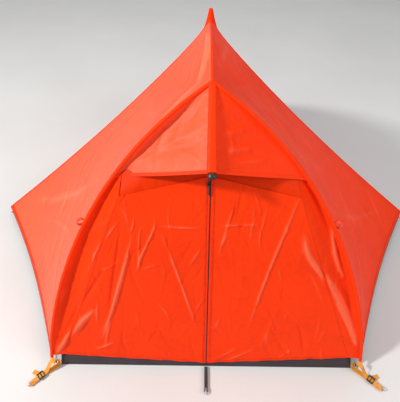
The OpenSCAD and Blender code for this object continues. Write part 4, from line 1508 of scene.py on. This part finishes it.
def corner_strap(hand, left, end, at, turn):
    """A corner's webbing through the buckle and round its peg, with its tail, low strap and bar tack."""
    spot = f"{end}_{hand}"
    web = webbing(f"corner_web_{spot}", at, turn, left, CORNER_WEB + PEG_EYE, STRAP_WIDTH, "strap_webbing")
    keep(web, ROOT, "orange_webbing", f"strap_{spot}")
    middle = station(at, turn, False, 0.060, 0.0, 0.0)[:2]
    tail = webbing(f"corner_tail_{spot}", middle, turn + 70, left, WEB_TAIL, 0.018, "strap_webbing")
    keep(tail, ROOT, "orange_webbing")
    k = -1 if end == "front" else 1
    line = [(out, height, k * sideways) for out, height, sideways in LOW_WEB]
    low = webbing(f"corner_low_web_{spot}", at, turn, left, line, STRAP_WIDTH, "strap_webbing")
    keep(low, ROOT, "orange_webbing")
    rows = [station(at, turn, left, s, np.array([-0.008, 0.0, 0.008]), 0.0123) for s in (0.084, 0.088, 0.092)]
    stitched(f"corner_bartack_{spot}", rows, ROOT, "thread", "orange_webbing")


def eyelet(name, x, y, left):
    """A metal ring in a corner tab, where the pole's tip sits."""
    a = turns(32)
    ring = mirrored(np.stack([x + 0.0052 * np.cos(a), y + 0.0052 * np.sin(a), 0 * a + 0.0022], 1), left)
    ob = sweep(name, ring, unit(ring - ring.mean(0)), (0, 0, 1), oval(0.0013, 0.0005, 8), "peg_alloy",
               closed=True)
    keep(ob, ROOT, "peg_aluminium")


def make_straps():
    for hand, left in HANDS:
        for end, at, turn in CORNERS:
            corner_strap(hand, left, end, at, turn)
        loop = webbing(f"side_web_{hand}", SIDE_CORNER, 0, left, SIDE_WEB, LOOP_WIDTH, "seam_web")
        fly_piece(loop, f"side_loop_{hand}")
    tab = webbing("centre_web", (0, 0.002), -90, False, CENTRE_WEB, LOOP_WIDTH, "black_webbing")
    keep(tab, ROOT, "black_webbing", "centre_tab")
    tabs = eased("grommet_tabs", "corner_tabs", 0.0005, "strap_webbing")
    keep(tabs, ROOT, "orange_webbing", "grommet_tabs")
    for hand, left in HANDS:
        eyelet(f"eyelet_front_{hand}", 0.650, 0.011, left)
        eyelet(f"eyelet_rear_{hand}", 0.437, 2.131, left)


def make_buckles():
    for end, _, _ in CORNERS:
        for hand, _ in HANDS:
            node = f"buckle_{end}_{hand}"
            keep(eased(node, f"ladder_{node}", 0.0007, "moulded_black"), node, "black_plastic", node)


def make_pegs():
    for node in [n for n in frame["nodes"] if n.startswith("peg_")]:
        keep(eased(node, node.replace("peg", "hook"), 0.0, "peg_alloy"), node, "peg_aluminium", node)


def guy_loop(number, seam, out, left):
    """A stiff webbing loop that stands out of a seam."""
    a = turns(36)[:, None]
    out = unit(out)
    axis = unit(np.cross(out, (0, 0, 1)))
    along = unit(np.cross(axis, out))
    centre = seam + 0.018 * out
    ring = centre + 0.0143 * (np.cos(a) * out * 1.03 + np.sin(a) * along * 0.95)
    ring, centre, axis = (mirrored(p, left) for p in (ring, centre, axis))
    fly_piece(sweep(f"guy_loop_{number}", ring, unit(ring - centre), axis, flat_bar(0.0007, 0.006, 0.0004),
                    "seam_web", closed=True), "guy_loops")


def make_loops():
    """The guy loops and the door toggles."""
    for number, left in ((1, True), (3, False)):
        guy_loop(number, arch(0.5), (0.8, -0.45, 0.35), left)
        guy_loop(number + 1, rear_seam(0.5), (0.35, 0.35, 0.85), left)
    keep(eased("door_toggles", "toggle_bars", 0.0007, "moulded_black"), ROOT, "black_plastic", "door_toggles")


# ---- the stage ----

def stage_floor():
    me = bpy.data.meshes.new("pale_floor")
    bm = bmesh.new()
    bmesh.ops.create_grid(bm, x_segments=2, y_segments=2, size=14)
    bm.to_mesh(me)
    bm.free()
    me.materials.append(FINISHES["pale_floor"])
    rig.stage(linked("pale_floor", me))


def stage_lights():
    for name, at, aim, size, watts, colour in LIGHTS:
        light = bpy.data.lights.new(name, "AREA")
        light.shape, light.size, light.energy, light.color = "DISK", size, watts, colour
        ob = linked(name, light)
        ob.location = at
        ob.rotation_euler = (Vector(aim) - Vector(at)).to_track_quat("-Z", "Y").to_euler()
    world = bpy.data.worlds.new("studio")
    world.use_nodes = True
    background = world.node_tree.nodes["Background"].inputs
    background["Color"].default_value = (0.97, 0.98, 1.0, 1)
    background["Strength"].default_value = 0.42
    bpy.context.scene.world = world


def stage_camera():
    cam = bpy.data.cameras.new("camera")
    cam.lens, cam.sensor_width = LENS, 36
    cam.dof.use_dof = False
    ob = linked("camera", cam)
    x, y, z = CAMERA_AT
    tilt = Matrix.Rotation(math.radians(CAMERA_TILT), 4, "X")
    roll = Matrix.Rotation(math.radians(CAMERA_ROLL), 4, "Z")
    ob.matrix_world = Matrix.Translation((x, y + BACK, z)) @ tilt @ roll
    bpy.context.scene.camera = ob


def make_stage():
    stage_floor()
    stage_lights()
    stage_camera()
    bpy.context.scene.view_settings.view_transform = "Standard"


# ---- the add-on ----

class TentSizes(bpy.types.PropertyGroup):
    stitch_spacing: FloatProperty(name="Stitch spacing", description="Distance from one stitch to the next",
                                  default=0.0045, min=0.002, max=0.02, unit="LENGTH")
    pole_width: FloatProperty(name="Pole diameter", description="Outer diameter of the pole tubes",
                              default=0.0085, min=0.006, max=0.0088, unit="LENGTH")


def colour_prop(name, description, default):
    return FloatVectorProperty(name=name, description=description, default=default, size=3, min=0, max=1,
                               subtype="COLOR")


class TentColours(bpy.types.PropertyGroup):
    fly: colour_prop("Fly", "Colour of the outer cloth", (0.95, 0.042, 0.003))
    tub: colour_prop("Tub", "Colour of the tub floor", (0.030, 0.017, 0.023))
    strap: colour_prop("Straps", "Colour of the corner webbing", (0.92, 0.36, 0.02))
    net: colour_prop("Net", "Colour of the inner tent", (0.72, 0.70, 0.66))


class TENT_OT_finishes(bpy.types.Operator):
    """Make the materials and node trees"""
    bl_idname = "tent.finishes"
    bl_label = "Finishes"
    bl_options = {"REGISTER", "UNDO"}

    def execute(self, context):
        make_finishes()
        return {"FINISHED"}


class TENT_OT_side_panels(bpy.types.Operator):
    """Make the two front side panels"""
    bl_idname = "tent.side_panels"
    bl_label = "Side panels"
    bl_options = {"REGISTER", "UNDO"}

    def execute(self, context):
        make_side_panels()
        return {"FINISHED"}


class TENT_OT_rear_panels(bpy.types.Operator):
    """Make the rear side panels and the foot panel"""
    bl_idname = "tent.rear_panels"
    bl_label = "Rear panels"
    bl_options = {"REGISTER", "UNDO"}

    def execute(self, context):
        make_rear_panels()
        return {"FINISHED"}


class TENT_OT_hood(bpy.types.Operator):
    """Make the hood over the doors with its sleeve and cap"""
    bl_idname = "tent.hood"
    bl_label = "Hood"
    bl_options = {"REGISTER", "UNDO"}

    def execute(self, context):
        make_hood()
        return {"FINISHED"}


class TENT_OT_doors(bpy.types.Operator):
    """Make the two zipped doors"""
    bl_idname = "tent.doors"
    bl_label = "Doors"
    bl_options = {"REGISTER", "UNDO"}

    def execute(self, context):
        make_doors()
        return {"FINISHED"}


class TENT_OT_gussets(bpy.types.Operator):
    """Make the cloth between the doors and the arch"""
    bl_idname = "tent.gussets"
    bl_label = "Gussets"
    bl_options = {"REGISTER", "UNDO"}

    def execute(self, context):
        make_gussets()
        return {"FINISHED"}


class TENT_OT_peak(bpy.types.Operator):
    """Make the raised peak"""
    bl_idname = "tent.peak"
    bl_label = "Peak"
    bl_options = {"REGISTER", "UNDO"}

    def execute(self, context):
        make_peak()
        return {"FINISHED"}


class TENT_OT_seams(bpy.types.Operator):
    """Make the rolled seams"""
    bl_idname = "tent.seams"
    bl_label = "Seams"
    bl_options = {"REGISTER", "UNDO"}

    def execute(self, context):
        make_seams()
        return {"FINISHED"}


class TENT_OT_zip(bpy.types.Operator):
    """Make the zip tapes, teeth, slider and pull"""
    bl_idname = "tent.zip"
    bl_label = "Zip"
    bl_options = {"REGISTER", "UNDO"}

    def execute(self, context):
        make_zip()
        return {"FINISHED"}


class TENT_OT_poles(bpy.types.Operator):
    """Make the pole tubes"""
    bl_idname = "tent.poles"
    bl_label = "Poles"
    bl_options = {"REGISTER", "UNDO"}

    def execute(self, context):
        make_poles()
        return {"FINISHED"}


class TENT_OT_fittings(bpy.types.Operator):
    """Make the hubs, tips, clips and cords"""
    bl_idname = "tent.fittings"
    bl_label = "Fittings"
    bl_options = {"REGISTER", "UNDO"}

    def execute(self, context):
        make_fittings()
        return {"FINISHED"}


class TENT_OT_tub(bpy.types.Operator):
    """Make the tub floor"""
    bl_idname = "tent.tub"
    bl_label = "Tub floor"
    bl_options = {"REGISTER", "UNDO"}

    def execute(self, context):
        make_tub()
        return {"FINISHED"}


class TENT_OT_inner(bpy.types.Operator):
    """Make the inner tent's net walls and door"""
    bl_idname = "tent.inner"
    bl_label = "Inner tent"
    bl_options = {"REGISTER", "UNDO"}

    def execute(self, context):
        make_inner()
        return {"FINISHED"}


class TENT_OT_straps(bpy.types.Operator):
    """Make the webbing straps and corner tabs"""
    bl_idname = "tent.straps"
    bl_label = "Straps"
    bl_options = {"REGISTER", "UNDO"}

    def execute(self, context):
        make_straps()
        return {"FINISHED"}


class TENT_OT_buckles(bpy.types.Operator):
    """Make the ladder-lock buckles"""
    bl_idname = "tent.buckles"
    bl_label = "Buckles"
    bl_options = {"REGISTER", "UNDO"}

    def execute(self, context):
        make_buckles()
        return {"FINISHED"}


class TENT_OT_pegs(bpy.types.Operator):
    """Make the hook pegs"""
    bl_idname = "tent.pegs"
    bl_label = "Pegs"
    bl_options = {"REGISTER", "UNDO"}

    def execute(self, context):
        make_pegs()
        return {"FINISHED"}


class TENT_OT_loops(bpy.types.Operator):
    """Make the guy loops and door toggles"""
    bl_idname = "tent.loops"
    bl_label = "Loops"
    bl_options = {"REGISTER", "UNDO"}

    def execute(self, context):
        make_loops()
        return {"FINISHED"}


class TENT_OT_stage(bpy.types.Operator):
    """Make the floor, lights and camera"""
    bl_idname = "tent.stage"
    bl_label = "Stage"
    bl_options = {"REGISTER", "UNDO"}

    def execute(self, context):
        make_stage()
        return {"FINISHED"}


STEPS = (TENT_OT_finishes, TENT_OT_side_panels, TENT_OT_rear_panels, TENT_OT_hood, TENT_OT_doors,
         TENT_OT_gussets, TENT_OT_peak, TENT_OT_seams, TENT_OT_zip, TENT_OT_poles, TENT_OT_fittings,
         TENT_OT_tub, TENT_OT_inner, TENT_OT_straps, TENT_OT_buckles, TENT_OT_pegs, TENT_OT_loops,
         TENT_OT_stage)  # in the order they run


class TENT_PT_maker(bpy.types.Panel):
    """Lists the tent's parts"""
    bl_label = "Tent"
    bl_space_type = "VIEW_3D"
    bl_region_type = "UI"
    bl_category = "Tent"

    def draw(self, context):
        for cls in STEPS:
            self.layout.operator(cls.bl_idname)
        for group in (context.scene.tent_sizes, context.scene.tent_colours):
            for name in group.__annotations__:
                self.layout.prop(group, name)


CLASSES = (TentSizes, TentColours, *STEPS, TENT_PT_maker)


def register():
    for cls in CLASSES:
        bpy.utils.register_class(cls)
    bpy.types.Scene.tent_sizes = PointerProperty(type=TentSizes)
    bpy.types.Scene.tent_colours = PointerProperty(type=TentColours)


def unregister():
    del bpy.types.Scene.tent_colours
    del bpy.types.Scene.tent_sizes
    for cls in reversed(CLASSES):
        bpy.utils.unregister_class(cls)


def main():
    register()
    for cls in STEPS:
        getattr(bpy.ops.tent, cls.bl_idname.split(".")[1])()
    low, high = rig.bounds()
    with open("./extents.json", "w") as f:
        json.dump({"cad": [list(CAD_BOX[0]), list(CAD_BOX[1])], "visual": [list(low), list(high)]}, f)


if __name__ == "__main__":
    main()
